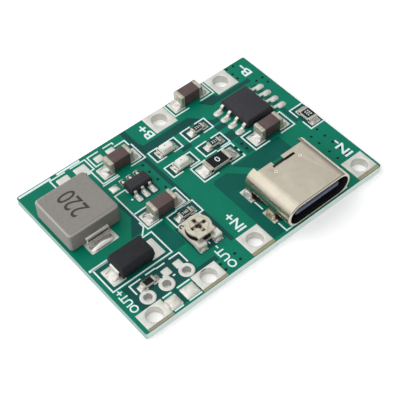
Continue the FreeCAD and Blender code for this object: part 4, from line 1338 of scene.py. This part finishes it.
@dataclass
class Resistors:
    """Chip resistors: white ceramic, black coat, plated ends and plain numbers."""

    rows: Sequence[tuple[ChipSize, str, float, float, int]] = (
        (ChipSize.SMALL, "331", 21.2, 17.5, 0),
        (ChipSize.SMALL, "331", 21.2, 14.6, 0),
        (ChipSize.SMALL, "100", 12.4, 8.98, 0),
        (ChipSize.SMALL, "", 3.9, 4.6, 0),
        (ChipSize.LARGE, "0", 19.7, 12.25, 0),
        (ChipSize.MEDIUM, "222", 32.1, 10.75, 1),
    )
    skin: float = 0.04
    body_edge: float = 0.02
    body_corner: float = 0.03
    end_edge: float = 0.09
    coat: float = 0.02
    coat_crown: float = 0.012
    coat_sunk: float = 0.03
    coat_lap: float = 0.02
    coat_margin: float = 0.03
    coat_edge: float = 0.05
    number_share: float = 0.66
    digit_share: float = 0.24
    number_height: float = 0.46
    ink: float = 0.012

    def build(self) -> None:
        """Make each body, coat, end and number."""
        digits = []
        for number, (size, words, x, y, turns) in enumerate(self.rows, 1):
            node = f"resistor_{number}"
            piece = EndedPiece(*size.value, x, y, turns)
            top = PAD_TOP + piece.height - self.skin
            profile = rounded(PAD_TOP + self.skin, top, self.body_edge, self.body_edge)
            body = lofted(profile, piece.length / 2 - self.skin, piece.width / 2, self.body_corner)
            piece.placed([body]).piece(node + "_ceramic", Finish.ALUMINA, "resistor_ceramic", (node + "_body",))
            half = piece.length / 2 - piece.band + self.coat_lap
            level = top + self.coat
            profile = [(top - self.coat_sunk, 0.0), (level, 0.0), (level + self.coat_crown, self.coat_edge)]
            coat = lofted(profile, half, piece.width / 2 - self.coat_margin, self.coat_edge)
            piece.placed([coat]).piece(node + "_coat", Finish.COAT, "resistor_ceramic")
            piece.plate(node, Finish.END, self.end_edge)
            if words:
                share = self.digit_share if len(words) == 1 else self.number_share
                letters = lettering(words, share * 2 * half, self.number_height * piece.width, 0.0, self.ink)
                digits.append(piece.placed([letters.moved(0, 0, level + self.coat_crown - 0.004)]))
        joined(digits).piece("resistor_numbers", Finish.INK, "resistor_ceramic", crease=30)


@dataclass
class StatusLights:
    """Two status lights: base with ends in the base's own finish, milky lens, die, flecks and green corner mark."""

    size: Sequence[float] = (2.0, 1.25, 0.38, 0.22)
    skin: float = 0.04
    lens_height: float = 0.46
    lens_length: float = 1.72
    lens_corner: float = 0.26
    lens_stops: Outline = ((0.2, 0.08), (0.11, 0.11), (0.04, 0.18), (0.0, 0.3))
    base_edges: Place = (0.02, 0.03)
    base_corner: float = 0.05
    end_edge: float = 0.06
    sunk: float = 0.02
    flecks: Sequence[Place] = ((-0.88, 0.4), (-0.9, 0.02), (-0.86, -0.42))
    fleck_size: Sequence[float] = (0.05, 0.06, 0.03)
    mark: Outline = ((0.8, -0.6), (0.97, -0.58), (0.97, -0.24), (0.8, -0.3))
    mark_rise: float = 0.014
    die: Sequence[float] = (-0.12, 0.02, 0.075)
    die_levels: Place = (-0.01, 0.004)

    def build(self) -> None:
        """Make both lights; a lens stop is the depth below its top and the inset there."""
        for number, (x, y) in enumerate(LIGHT_PLACES, 1):
            node = f"light_{number}"
            piece = EndedPiece(*self.size, x, y)
            deck = PAD_TOP + piece.height
            profile = rounded(PAD_TOP + self.skin, deck, *self.base_edges)
            base = lofted(profile, piece.length / 2 - self.skin, piece.width / 2, self.base_corner)
            base.moved(x, y).piece(node + "_moulding", Finish.LIGHT_BASE, "light_base", (node + "_base",))
            roof = deck + self.lens_height
            profile = [(deck, 0.0), *((roof - depth, inset) for depth, inset in self.lens_stops)]
            lens = lofted(profile, self.lens_length / 2, piece.width / 2 - self.skin, self.lens_corner)
            lens.moved(x, y).piece(node + "_resin", Finish.LENS, "light_lens", (node + "_lens",))
            piece.plate(node, Finish.LIGHT_BASE, self.end_edge)
            flecks = [bead(x + dx, y + dy, *self.fleck_size, deck - self.sunk) for dx, dy in self.flecks]
            joined(flecks).piece(node + "_flecks", Finish.RIVET, "plated_end")
            mark = sheet(self.mark, deck - self.sunk, deck + self.mark_rise)
            mark.moved(x, y).piece(node + "_green_mark", Finish.GREEN, "light_base")
            dx, dy, radius = self.die
            stops = [(radius, roof + level) for level in self.die_levels]
            die = disc(x + dx, y + dy, stops, 16)
            die.piece(node + "_die", Finish.DARK_INK, "light_lens")


# Coil, diode and chips
@dataclass(frozen=True)
class FoldedLead:
    """A flat lead that comes out level, goes down and folds back under its piece."""

    root: float
    level: float
    out: float
    toe: float
    thickness: float
    width: float

    def pair(self) -> Surface:
        """The lead at both ends of a piece.

        Returns:
            Both leads, centred on the piece.
        """
        floor = PAD_TOP + self.thickness / 2
        path = ((self.root, self.level), (self.out, self.level), (self.out, floor), (self.toe, floor))
        lead = strip(path, 0.2, self.thickness, self.width, 0.04)
        return joined([lead, lead.moved(turns=2)])


@dataclass
class Coil:
    """The moulded coil with its clips, marked with a plain number."""

    x: float = 3.5
    y: float = 16.1
    half: float = 3.25
    floor: float = 1.2
    roof: float = 3.7
    bevel: float = 0.22
    corner: float = 0.4
    clip: FoldedLead = FoldedLead(3.0, 2.0, 3.47, 2.3, 0.15, 2.94)
    clip_shade_height: float = 0.34
    clip_shade_level: float = 0.6
    clip_shade_margin: float = 0.12
    number: Sequence[float] = (3.2, 16.3, 3.4, 2.2)
    number_weight: float = 0.004

    def build(self) -> None:
        """Make the body, the clips and the number."""
        shoulder = self.roof - self.bevel
        half_bevel = self.bevel / 2
        profile = [
            (self.floor, 0.06), (self.floor + 0.06, 0.0), (shoulder - 0.02, 0.0), (shoulder + 0.02, 0.02),
            (self.roof - half_bevel, half_bevel), (self.roof - 0.025, self.bevel - 0.025),
            (self.roof, self.bevel + 0.02),
        ]
        body = lofted(profile, self.half, self.half, self.corner, steps=3)
        # The bevel's middle is painted lighter: a painted highlight where the bevel catches the light.
        off_edge = np.abs(body.points[:, 2] - (self.roof - half_bevel))
        painted_highlight = soft_step(off_edge, self.bevel * 0.35, self.bevel * 0.25)
        body = body.moved(self.x, self.y)
        body.piece("coil_moulding", Finish.FERRITE, "moulded_ferrite", ("coil_body",), crease=24, painted_light=painted_highlight)
        clips = self.clip.pair().moved(self.x, self.y, 0, 1)
        clips.piece("coil_clips_tinned", Finish.LEAD, "tinned_lead", ("coil_clips",), crease=50)
        # A dark film of painted shade on the front clip's outer face.
        face = self.y - self.clip.out - self.clip.thickness / 2
        half_width = self.clip.width / 2 - self.clip_shade_margin
        shade_sheet = lofted([(face - 0.012, 0.03), (face + 0.02, 0.0)], self.clip_shade_height / 2, half_width, 0.03, Axis.Y)
        shade_sheet.moved(self.x, 0, PAD_TOP + self.clip_shade_level).piece("coil_clip_shade", Finish.FLUX, "solder")
        x, y, length, height = self.number
        number = lettering("220", length, height, self.number_weight, 0.012).moved(x, y, self.roof - 0.004, 1)
        number.piece("coil_number", Finish.DARK_INK, "moulded_ferrite", crease=30)


@dataclass
class Diode:
    """The rectifier diode with leads folded under its ends."""

    x: float = 4.25
    y: float = 7.75
    half_x: float = 2.15
    half_y: float = 1.3
    draft: float = 0.16
    levels: Sequence[float] = (1.21, 2.05, 3.0)
    seam: float = 0.02
    seam_in: float = 0.01
    top_stops: Outline = ((0.1, -0.02), (0.04, 0.02), (0.0, 0.11))
    corner: float = 0.12
    lead: FoldedLead = FoldedLead(1.9, 2.05, 2.27, 1.35, 0.16, 1.5)

    def build(self) -> None:
        """Make the body and the leads."""
        low, parting, top = self.levels
        seam = [(parting - self.seam, self.seam_in), (parting, 0.0), (parting + self.seam, self.seam_in)]
        roof = [(top - depth, self.draft + inset) for depth, inset in self.top_stops]
        body = lofted([(low, self.draft), *seam, *roof], self.half_x, self.half_y, self.corner)
        body = body.moved(self.x, self.y)
        body.piece("diode_moulding", Finish.DIODE, "chip_plastic", ("diode_body",), crease=32)
        leads = self.lead.pair().moved(self.x, self.y)
        leads.piece("diode_leads_tinned", Finish.LEAD, "tinned_lead", ("diode_leads",), crease=50)


@dataclass
class GullWingChip:
    """A moulded chip with a row of gull wing leads on each side."""

    name: str
    x: float
    y: float
    turns: int
    width: float
    length: float
    height: float
    stand_off: float
    draft: float
    span: float
    pitch: float
    per_side: int
    lead_width: float
    lead_thickness: float
    foot: float
    root: float = 0.25
    shoulder: float = 0.45
    bend: float = 0.2
    seam: float = 0.015
    seam_in: float = 0.005
    corner: float = 0.05

    def lead(self) -> Surface:
        """One lead on the right side: out of the body, down and out along its pad.

        Returns:
            The lead.
        """
        toe = self.span / 2
        heel = toe - self.foot
        level = BOARD_TOP + self.stand_off + self.height / 2
        floor = PAD_TOP + self.lead_thickness / 2
        side = self.width / 2
        path = ((side - self.root, level), (side + (heel - side) * self.shoulder, level), (heel, floor), (toe, floor))
        return strip(path, self.bend, self.lead_thickness, self.lead_width, self.lead_thickness * 0.35)

    def build(self) -> None:
        """Make the body and the leads."""
        low = BOARD_TOP + self.stand_off
        middle = low + self.height / 2
        high = low + self.height
        profile = [
            (low, self.draft), (middle - self.seam, self.seam_in), (middle, 0.0), (middle + self.seam, self.seam_in),
            (high - 0.2, self.draft * 0.8), (high - 0.18, self.draft * 0.9), (high - 0.02, self.draft + 0.1),
            (high, self.draft + 0.14),
        ]
        body = lofted(profile, self.width / 2, self.length / 2, self.corner).moved(self.x, self.y, 0, self.turns)
        body.piece(self.name + "_moulding", Finish.EPOXY, "chip_plastic", (self.name + "_body",), crease=32)
        places = (np.arange(self.per_side) - (self.per_side - 1) / 2) * self.pitch
        lead = self.lead()
        leads = [lead.moved(turns=side).moved(0, place) for place in places for side in (0, 2)]
        row = joined(leads).moved(self.x, self.y, 0, self.turns)
        row.piece(self.name + "_leads_tinned", Finish.LEAD, "tinned_lead", (self.name + "_leads",), crease=50)


# Solder
class Rise(Enum):
    """Solder drawn up against a face: reach, width, rise, crown, hollow and wave of its mound."""

    CAPACITOR = (0.8, 1.6, 0.62, 0.2, 3.4, 0.1)
    SMALL = (0.5, 0.86, 0.36, 0.08, 2.0, 0.03)
    JUMPER = (0.95, 1.56, 0.42, 0.14, 2.6, 0.07)
    MEDIUM = (0.42, 1.2, 0.36, 0.08, 2.0, 0.03)
    LIGHT = (0.34, 1.14, 0.3, 0.05, 2.0, 0.03)
    DIODE = (0.85, 1.6, 0.5, 0.06, 2.4, 0.03)
    LEG = (0.42, 1.4, 0.7, 0.2, 1.3, 0.1)


@dataclass
class SolderWork:
    """The solder at every end, foot and leg, and sheets of painted shade beside some of them.

    A row of ends is the mound, half the piece's length, its quarter turns and its places. A
    drop is X, Y, half length, half width and rise, then how boxy it is.
    """

    ends: Sequence[tuple[Rise, float, int, Outline]] = (
        (Rise.CAPACITOR, 1.58, 0, CAPACITOR_PLACES),
        (Rise.SMALL, 0.79, 0, ((21.2, 17.5), (21.2, 14.6), (12.4, 8.98), (3.9, 4.6))),
        (Rise.JUMPER, 1.59, 0, ((19.7, 12.25),)),
        (Rise.MEDIUM, 0.99, 1, ((32.1, 10.75),)),
        (Rise.LIGHT, 0.99, 0, LIGHT_PLACES),
    )
    heel: Sequence[float] = (4.25, 7.75, 2.34)
    trimmer_x: Sequence[float] = (10.87, 12.93)
    trimmer_drops: Sequence[Sequence[float]] = ((4.15, 0.48, 0.3, 0.3), (4.45, 0.36, 0.3, 0.62))
    tail_x: Sequence[float] = (20.85, 22.08, 23.1, 24.1, 25.12, 26.35)
    tail_drop: Sequence[float] = (7.15, 0.3, 0.36, 0.16)
    clip_drops: Sequence[tuple[Sequence[float], float]] = (
        ((3.4, 11.9, 1.48, 0.62, 0.32), 0.5), ((3.4, 20.3, 1.48, 0.62, 0.32), 0.5), ((8.8, 16.85, 0.5, 0.45, 0.1), 0.6),
    )
    bridge_drops: Sequence[tuple[Sequence[float], float]] = (
        ((4.42, 1.17, 0.7, 0.7, 0.15), 0.5), ((6.55, 1.17, 0.82, 0.7, 0.14), 0.5), ((3.66, 1.25, 0.26, 0.5, 0.1), 0.7),
    )
    charger_feet: Sequence[Sequence[float]] = ((24.72, 30.98), (14.095, 15.365, 16.635, 17.905), (0.6, 0.36, 0.15))
    boost_feet: Sequence[Sequence[float]] = ((10.07, 11.05, 12.03), (14.15, 16.88), (0.24, 0.46, 0.14))
    legs: Sequence[tuple[str, float, Finish]] = (
        ("solder_at_front_legs", 2.75, Finish.LEG_SOLDER), ("solder_at_rear_legs", 6.45, Finish.LEAD),
    )
    leg_sides: Sequence[tuple[float, int]] = ((19.13, 2), (28.07, 0))
    leg_shade: Sequence[Outline] = (
        ((-0.16, 6.4), (-0.16, 5.6), (0.05, 4.9), (0.2, 4.3), (0.35, 4.3), (0.35, 6.4)),
        ((-0.16, 3.2), (-0.16, 2.4), (-0.1, 1.8), (0.1, 1.6), (0.35, 1.6), (0.35, 3.2)),
    )
    leg_shade_places: Sequence[tuple[float, float, int]] = ((19.4, 0.0, 0), (27.8, 9.0, 2))
    leg_shade_rise: float = 0.04
    foot_shade_rise: float = 0.1
    foot_shade: Outline = ((-0.29, -0.3), (0.29, -0.3), (0.29, 0.26), (0.1, 0.36), (-0.29, 0.3))

    def drawn_up(self) -> list[Surface]:
        """The mounds at both ends of each piece, and the one at the diode's left lead.

        Returns:
            The mounds in their places.
        """
        made = []
        for rise, end, turns, places in self.ends:
            right = mound(*rise.value).moved(end, 0, PAD_TOP)
            made += [right.moved(turns=side).moved(x, y, 0, turns) for x, y in places for side in (0, 2)]
        x, y, end = self.heel
        made.append(mound(*Rise.DIODE.value).moved(end, 0, PAD_TOP).moved(turns=2).moved(x, y))
        return made

    def build(self) -> None:
        """Make the solder, each sort as one piece, and the sheets of painted shade."""
        flow = self.drawn_up()
        flow += [bead(x, *drop) for x in self.trimmer_x for drop in self.trimmer_drops]
        flow += [bead(x, *self.tail_drop) for x in self.tail_x]
        feet = []
        for across, along, size in (self.charger_feet, self.boost_feet):
            feet += [bead(x, y, *size) for x in across for y in along]
        made = [
            ("solder_at_clips", Finish.DROP, [bead(*drop, boxy=boxy) for drop, boxy in self.clip_drops], ()),
            ("solder_at_bridges", Finish.BRIDGE, [bead(*drop, boxy=boxy) for drop, boxy in self.bridge_drops], ()),
            ("solder_at_feet", Finish.TIN, feet, ()),
            ("solder_flow", Finish.SOLDER, flow, ("solder_joints",)),
        ]
        lump = mound(*Rise.LEG.value)
        for name, y, finish in self.legs:
            made.append((name, finish, [lump.moved(turns=side).moved(x, y, PAD_TOP) for x, side in self.leg_sides], ()))
        for name, finish, surfaces, replaces in made:
            joined(surfaces).piece(name, finish, "solder", replaces, crease=60)
        # Dark sheets of painted shade beside the socket's legs, under the shell's flanks, and behind the boost chip's
        # rear feet.
        low = BOARD_TOP - SUNK
        shade_sheet = joined([sheet(outline, low, PAD_TOP + self.leg_shade_rise) for outline in self.leg_shade])
        leg_shade_sheets = [shade_sheet.moved(turns=turns).moved(x, y) for x, y, turns in self.leg_shade_places]
        joined(leg_shade_sheets).piece("leg_shade", Finish.FLUX, "solder")
        across, (_, rear), _ = self.boost_feet
        foot_shade_sheets = [sheet(self.foot_shade, low, PAD_TOP + self.foot_shade_rise).moved(x, rear) for x in across]
        joined(foot_shade_sheets).piece("foot_shade", Finish.FLUX, "solder")


# Trimmer
@dataclass
class Trimmer:
    """The trimmer: ceramic base, film, clips and the rotor with its pressed cross.

    The ridge is its radius, half width, soft edge and height. The curl's ink is its width and
    two levels. Painted shade has a share in the slots, one at their ends and one in the socket.
    """

    x: float = 11.9
    y: float = 6.15
    plate_low: float = 2.16
    plate_high: float = 2.42
    radius: float = 1.45
    tab_half: float = 1.12
    tab_reach: float = 1.44
    hub_radius: float = 0.72
    hub_low: float = 1.72
    slot_half_width: float = 0.19
    slot_half_length: float = 0.94
    slot_depth: float = 0.25
    slot_side: float = 0.035
    slot_end: float = 0.05
    socket_radius: float = 0.34
    socket_side: float = 0.06
    socket_depth: float = 0.45
    ridge: Sequence[float] = (0.98, 0.05, 0.06, 0.035)
    recess_shade_shares: Sequence[float] = (0.3, 0.8, 0.6)
    recess_shade_reach: float = 0.15
    recess_shade_edge: float = 0.05
    pressed_least: float = 0.25
    edge: float = 0.07
    low_edge: float = 0.03
    high_edge: float = 0.02
    base_bevel: float = 0.05
    clip_bevel: float = 0.03
    sides: int = 144
    circles: int = 56
    rivet_stops: Outline = ((0.3, -0.03), (0.3, 0.02), (0.24, 0.05), (0.1, 0.07))
    film_and_shade_stops: Outline = ((1.5, 1.64), (1.5, 1.675), (1.0, 1.675), (1.0, 1.64))
    film_and_shade_shift: float = -0.05
    curl: Outline = ((-1.3, 1.15), (-1.42, 1.42), (-1.2, 1.6), (-0.98, 1.5), (-1.02, 1.3))
    curl_ink: Sequence[float] = (0.15, 1.66, 1.685)

    def outline(self, ray: Points) -> Points:
        """Reach of the rotor's plate: the circle, or the tab's box where that goes further.

        Args:
            ray: X and Y of the unit ray at each angle.

        Returns:
            The reach at each angle.
        """
        side = self.tab_half / np.maximum(np.abs(ray[:, 0]), TINY)
        front = self.tab_reach / np.maximum(-ray[:, 1], TINY)
        box = np.where(ray[:, 1] < 0, np.minimum(side, front), 0.0)
        return np.maximum(self.radius, box)

    def relief(self, x: Points, y: Points) -> Points:
        """Depth of the pressed cross and its socket below the plate's top.

        Each slot is a product of two smooth steps, one across and one along it; the deeper of
        the two slots and the socket counts. A low ridge runs round them.

        Args:
            x: X from the rotor's axis.
            y: Y from the rotor's axis.

        Returns:
            The depth at each point.
        """
        slots = [
            soft_step(np.abs(across), self.slot_half_width, self.slot_side)
            * soft_step(np.abs(along), self.slot_half_length, self.slot_end)
            for across, along in ((y, x), (x, y))
        ]
        reach = np.hypot(x, y)
        socket = soft_step(reach, self.socket_radius, self.socket_side) * self.socket_depth
        radius, half, soft, rise = self.ridge
        ridge = soft_step(np.abs(reach - radius), half, soft) * -rise
        return np.maximum(np.maximum(*slots) * self.slot_depth, socket) + ridge

    def rotor(self) -> Surface:
        """The rotor: hub and plate as turned walls, its top a height field on a polar grid.

        Returns:
            The rotor, centred on its axis.
        """
        ray = circle(self.sides)
        reach = self.outline(ray)
        hub = np.full_like(reach, self.hub_radius)
        low, high = self.plate_low, self.plate_high
        walls = (
            (hub, self.hub_low), (hub, low), (reach - self.low_edge, low), (reach, low + self.low_edge),
            (reach, high - self.edge), (reach - self.high_edge, high - self.high_edge),
        )
        rings = [np.column_stack([ray * out[:, None], np.full_like(out, level)]) for out, level in walls]
        plan = np.linspace(1, 0.02, self.circles)[:, None, None] * ray * (reach - self.edge)[:, None]
        top = high - self.relief(plan[..., 0], plan[..., 1])
        return ruled(np.concatenate([rings, np.concatenate([plan, top[..., None]], axis=-1)]))

    def recess_shade(self, points: Points) -> Points:
        """Painted shade on the rotor: a little in the cross, more at its ends and in its socket.

        Args:
            points: the rotor's points.

        Returns:
            The share at each point.
        """
        x, y, z = points.T
        outer = np.hypot(x, y)
        pressed = self.relief(x, y) / self.slot_depth
        middle = soft_step(outer, self.socket_radius, self.recess_shade_edge)
        off_end = np.abs(outer - self.slot_half_length + self.recess_shade_reach)
        tips = soft_step(off_end, self.recess_shade_reach, self.recess_shade_edge) * (pressed > self.pressed_least)
        shares = np.stack([np.minimum(pressed, 1), tips, middle])
        return np.clip(np.array(self.recess_shade_shares) @ shares, 0, 1) * (z > self.plate_low - 0.2)

    def build(self) -> None:
        """Make every piece of the trimmer."""
        rotor = self.rotor()
        # Painted shade in the pressed cross, darker at its ends and in the socket.
        recess_shade = self.recess_shade(rotor.points)
        rotor.moved(self.x, self.y).piece(
            "rotor_plate", Finish.ROTOR, "rotor_metal", ("trimmer_rotor",), Body.ROTOR, 45, recess_shade
        )
        floor = self.plate_high - self.socket_depth
        rivet = disc(self.x, self.y, [(radius, floor + rise) for radius, rise in self.rivet_stops])
        rivet.piece("rivet_end", Finish.RIVET, "rotor_metal", ("trimmer_rivet",), Body.ROTOR)
        fold("trimmer_base", Finish.PORCELAIN, self.base_bevel)
        fold("trimmer_clips", Finish.LEAD, self.clip_bevel)
        repaint("trimmer_track", Finish.FILM)
        # A dark ring under the rotor's edge: partly the resistive film, partly painted shade.
        rim = disc(self.x, self.y + self.film_and_shade_shift, self.film_and_shade_stops, 64, True)
        rim.piece("track_film_and_shade", Finish.FILM, "white_ceramic", crease=60)
        curl = softened(self.curl, 0.12, 4) + (self.x, self.y)
        ribbon(curl, *self.curl_ink).piece("base_curl_mark", Finish.FILM, "white_ceramic")


# Charging socket
@dataclass
class ChargingSocket:
    """The charging socket: folded shell, moulded block, tongue and contacts.

    The tongue's stops are Y and inset, a dimple's are radius and height over the roof.
    """

    bevel: float = 0.05
    bevel_crease: float = 30.0
    x: float = 23.6
    middle: float = 2.58
    roof: float = 4.16
    sleeve_half_width: float = 4.19
    sleeve_half_height: float = 1.3
    sleeve_wall: float = 0.03
    sleeve_flat: float = 0.01
    sleeve_steps: int = 8
    sleeve_span: Place = (0.13, 4.72)
    tongue_stops: Outline = ((0.42, 0.13), (0.52, 0.02), (0.6, 0.0), (4.7, 0.0))
    tongue_half: Place = (0.35, 3.15)
    tongue_corner: float = 0.1
    dimple_spread: float = 1.75
    dimple_y: float = 5.1
    dimple_stops: Outline = ((0.21, -0.03), (0.2, 0.012), (0.12, 0.012), (0.11, -0.03))
    ledge: Box = (22.3, 5.58, 23.8, 5.74)
    ledge_depths: Place = (0.3, 0.12)

    def sleeve(self) -> Surface:
        """A dark sleeve of painted shade inside the mouth: a closed ring of wall carried along Y.

        Returns:
            The surface.
        """
        inner = np.array([[self.sleeve_wall], [0.0]])
        half_z = self.sleeve_half_height - inner
        half_x = self.sleeve_half_width - inner
        across, along = corner_loop(half_z, half_x, half_z - self.sleeve_flat, self.sleeve_steps)
        front, rear = self.sleeve_span
        points = [
            np.stack([self.x + along[row], np.full_like(along[row], y), self.middle + across[row]], axis=-1)
            for row, y in ((0, front), (1, front), (1, rear), (0, rear))
        ]
        return ruled(np.stack(points), around=True)

    def build(self) -> None:
        """Dress each of its solids and put a sleeve of painted shade in the mouth."""
        # The mouth's dark sleeve is painted shade inside the shell.
        self.sleeve().piece("socket_mouth_shade", Finish.SOCKET, "socket_plastic", crease=50)
        fold("socket_shell", Finish.STEEL, self.bevel, self.bevel_crease)
        blade = lofted(self.tongue_stops, *self.tongue_half, self.tongue_corner, Axis.Y).moved(self.x, 0, self.middle)
        blade.piece("socket_blade", Finish.TONGUE, "socket_plastic", ("socket_tongue",))
        # Bright rings at the shell's dimples are painted highlights.
        rim = [(radius, self.roof + rise) for radius, rise in self.dimple_stops]
        dimple_glints = [disc(self.x + side * self.dimple_spread, self.dimple_y, rim, 20, True) for side in (-1, 1)]
        joined(dimple_glints).piece("shell_dimple_glints", Finish.WORN, "nickel_steel", crease=60)
        low, high = self.roof - np.array(self.ledge_depths)
        sheet(corners(self.ledge), low, high).piece("socket_slot_ledge", Finish.LEDGE, "socket_plastic")
        repaint("socket_housing", Finish.SOCKET)
        repaint("socket_contacts", Finish.GOLD)
        repaint("socket_slot_linings", Finish.TIN)


# Stage
@dataclass
class Studio:
    """Floor, light and camera."""

    focal: float = 1059.57
    picture: float = 400.0
    sensor: float = 36.0
    eye: Sequence[float] = (-45.44, -58.55, 90.42)
    right: Sequence[float] = (0.76562688, -0.64252493, -0.03126004)
    down: Sequence[float] = (-0.51721515, -0.58595931, -0.623811)
    forward: Sequence[float] = (0.38249701, 0.49377464, -0.78094983)
    clip: Place = (0.005, 10.0)
    sky: float = 1.62
    mirrored: float = 1.35
    low_sky: float = 0.42
    low_sky_height: float = 0.6
    dimmest: float = 0.3
    fall: float = 1.8
    bright_side: Sequence[float] = (-0.6, 0.42, 0.68)
    sun: float = 0.5
    sun_spread: float = 50.0
    sun_turn: Sequence[float] = (-18.0, -30.0, 0.0)
    floor_half: float = 0.6
    floor_cells: int = 12
    floor_tones: Place = (0.93, 0.96)
    floor_cloud: float = 60.0
    floor_roughness: float = 0.9
    glow: float = 0.14

    def floor(self) -> None:
        """A pale floor that takes the module's shadow."""
        span = np.linspace(-self.floor_half, self.floor_half, self.floor_cells + 1)
        x, y = np.meshgrid(span, span, indexing="ij")
        points = np.stack([x, y, np.zeros_like(x)], axis=-1).reshape(-1, 3)
        row = self.floor_cells + 1
        start = np.arange(row * row).reshape(row, row)[:-1, :-1].ravel()
        faces = np.stack([start, start + row, start + row + 1, start + 1], axis=-1)
        mesh = bpy.data.meshes.new("floor")
        mesh.from_pydata(points.tolist(), [], faces.tolist())
        bench = NodeBench.material("pale_floor")
        low, high = ((tone, tone, tone, 1.0) for tone in self.floor_tones)
        tone = bench.blend(bench.spread(bench.noise(self.floor_cloud, 2.0)), low, high)
        bench.dress(Base_Color=tone, Roughness=self.floor_roughness, Specular_IOR_Level=0.0)
        bench.dress(Emission_Color=tone, Emission_Strength=self.glow)
        mesh.materials.append(bench.owner)
        stood("floor", mesh)

    def light(self) -> None:
        """An even sky, white behind the module, and one soft lamp from the upper left.

        The sky's level is sky ((1 + cos a) / 2)^fall, with a the angle from its bright side. In
        reflections it is capped, falls off towards the horizon and stays above the dimmest.
        """
        world = bpy.data.worlds.new("studio")
        bpy.context.scene.world = world
        bench = NodeBench(world, "Background", "Generated")
        toward = bench.nodes.new("ShaderNodeVectorMath")
        toward.operation = "DOT_PRODUCT"
        bench.feed(toward.inputs[0], bench.spot)
        bench.feed(toward.inputs[1], self.bright_side)
        share = bench.node("MapRange", Value=toward.outputs["Value"], From_Min=-1.0).outputs["Result"]
        level = bench.sum(Step.TIMES, bench.sum(Step.POWER, share, self.fall), self.sky)
        height = bench.node("SeparateXYZ", Vector=bench.spot).outputs["Z"]
        rise = bench.node("MapRange", Value=height, From_Max=self.low_sky_height, To_Min=self.low_sky)
        capped = bench.sum(Step.LEAST, level, self.mirrored)
        glossy = bench.sum(Step.MOST, bench.sum(Step.TIMES, capped, rise.outputs["Result"]), self.dimmest)
        path = bench.node("LightPath").outputs
        strength = bench.node("Mix", Factor=path["Is Glossy Ray"], A=level, B=glossy).outputs["Result"]
        white = (1.0, 1.0, 1.0, 1.0)
        bench.dress(Color=white, Strength=strength)
        seen = bench.node("Background", Color=white).outputs["Background"]
        mix = bench.node("MixShader", Fac=bench.sum(Step.MOST, path["Is Camera Ray"], path["Is Transmission Ray"]))
        bench.feed(mix.inputs[1], bench.shader.outputs["Background"])
        bench.feed(mix.inputs[2], seen)
        bench.fill(bench.nodes["World Output"], Surface=mix.outputs["Shader"])
        lamp = bpy.data.lights.new("soft_lamp", "SUN")
        lamp.energy = self.sun
        lamp.angle = math.radians(self.sun_spread)
        holder = stood("soft_lamp", lamp)
        holder.rotation_euler = np.radians(self.sun_turn)
        holder.visible_glossy = False

    def camera(self) -> None:
        """The camera of the photograph, measured from the module's own outline."""
        data = bpy.data.cameras.new("camera")
        data.sensor_width = self.sensor
        data.lens = self.focal / self.picture * self.sensor
        data.clip_start, data.clip_end = self.clip
        camera = stood("camera", data)
        sides = (self.right, -np.asarray(self.down), -np.asarray(self.forward), np.asarray(self.eye) * MILLIMETRE)
        turn = np.eye(4)
        turn[:3] = np.column_stack(sides)
        camera.matrix_world = Matrix(turn.tolist())
        bpy.context.scene.camera = camera

    def build(self) -> None:
        """Set the stage."""
        self.floor()
        self.light()
        self.camera()
        bpy.context.scene.view_settings.view_transform = "Standard"


CHIPS = (
    GullWingChip(
        name="charger_chip", x=27.45, y=16.08, turns=0, width=3.9, length=4.75, height=1.15, stand_off=0.1, draft=0.1,
        span=6.0, pitch=1.27, per_side=4, lead_width=0.42, lead_thickness=0.2, foot=0.65,
    ),
    GullWingChip(
        name="boost_chip", x=11.05, y=15.5, turns=1, width=1.6, length=2.9, height=1.0, stand_off=0.08, draft=0.07,
        span=2.8, pitch=0.98, per_side=3, lead_width=0.38, lead_thickness=0.15, foot=0.42,
    ),
)


def main() -> None:
    """Build every piece, logging each new piece's faces and each part when it is done."""
    logging.basicConfig(level=logging.INFO, format="%(message)s")
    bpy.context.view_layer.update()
    for part in (
        CircuitBoard(), PadField(), Terminals(), Capacitors(), Resistors(), StatusLights(), Coil(), Diode(), *CHIPS,
        SolderWork(), Trimmer(), ChargingSocket(), Studio(),
    ):
        part.build()
        log.info("%s is done", type(part).__name__)


if __name__ == "__main__":
    main()
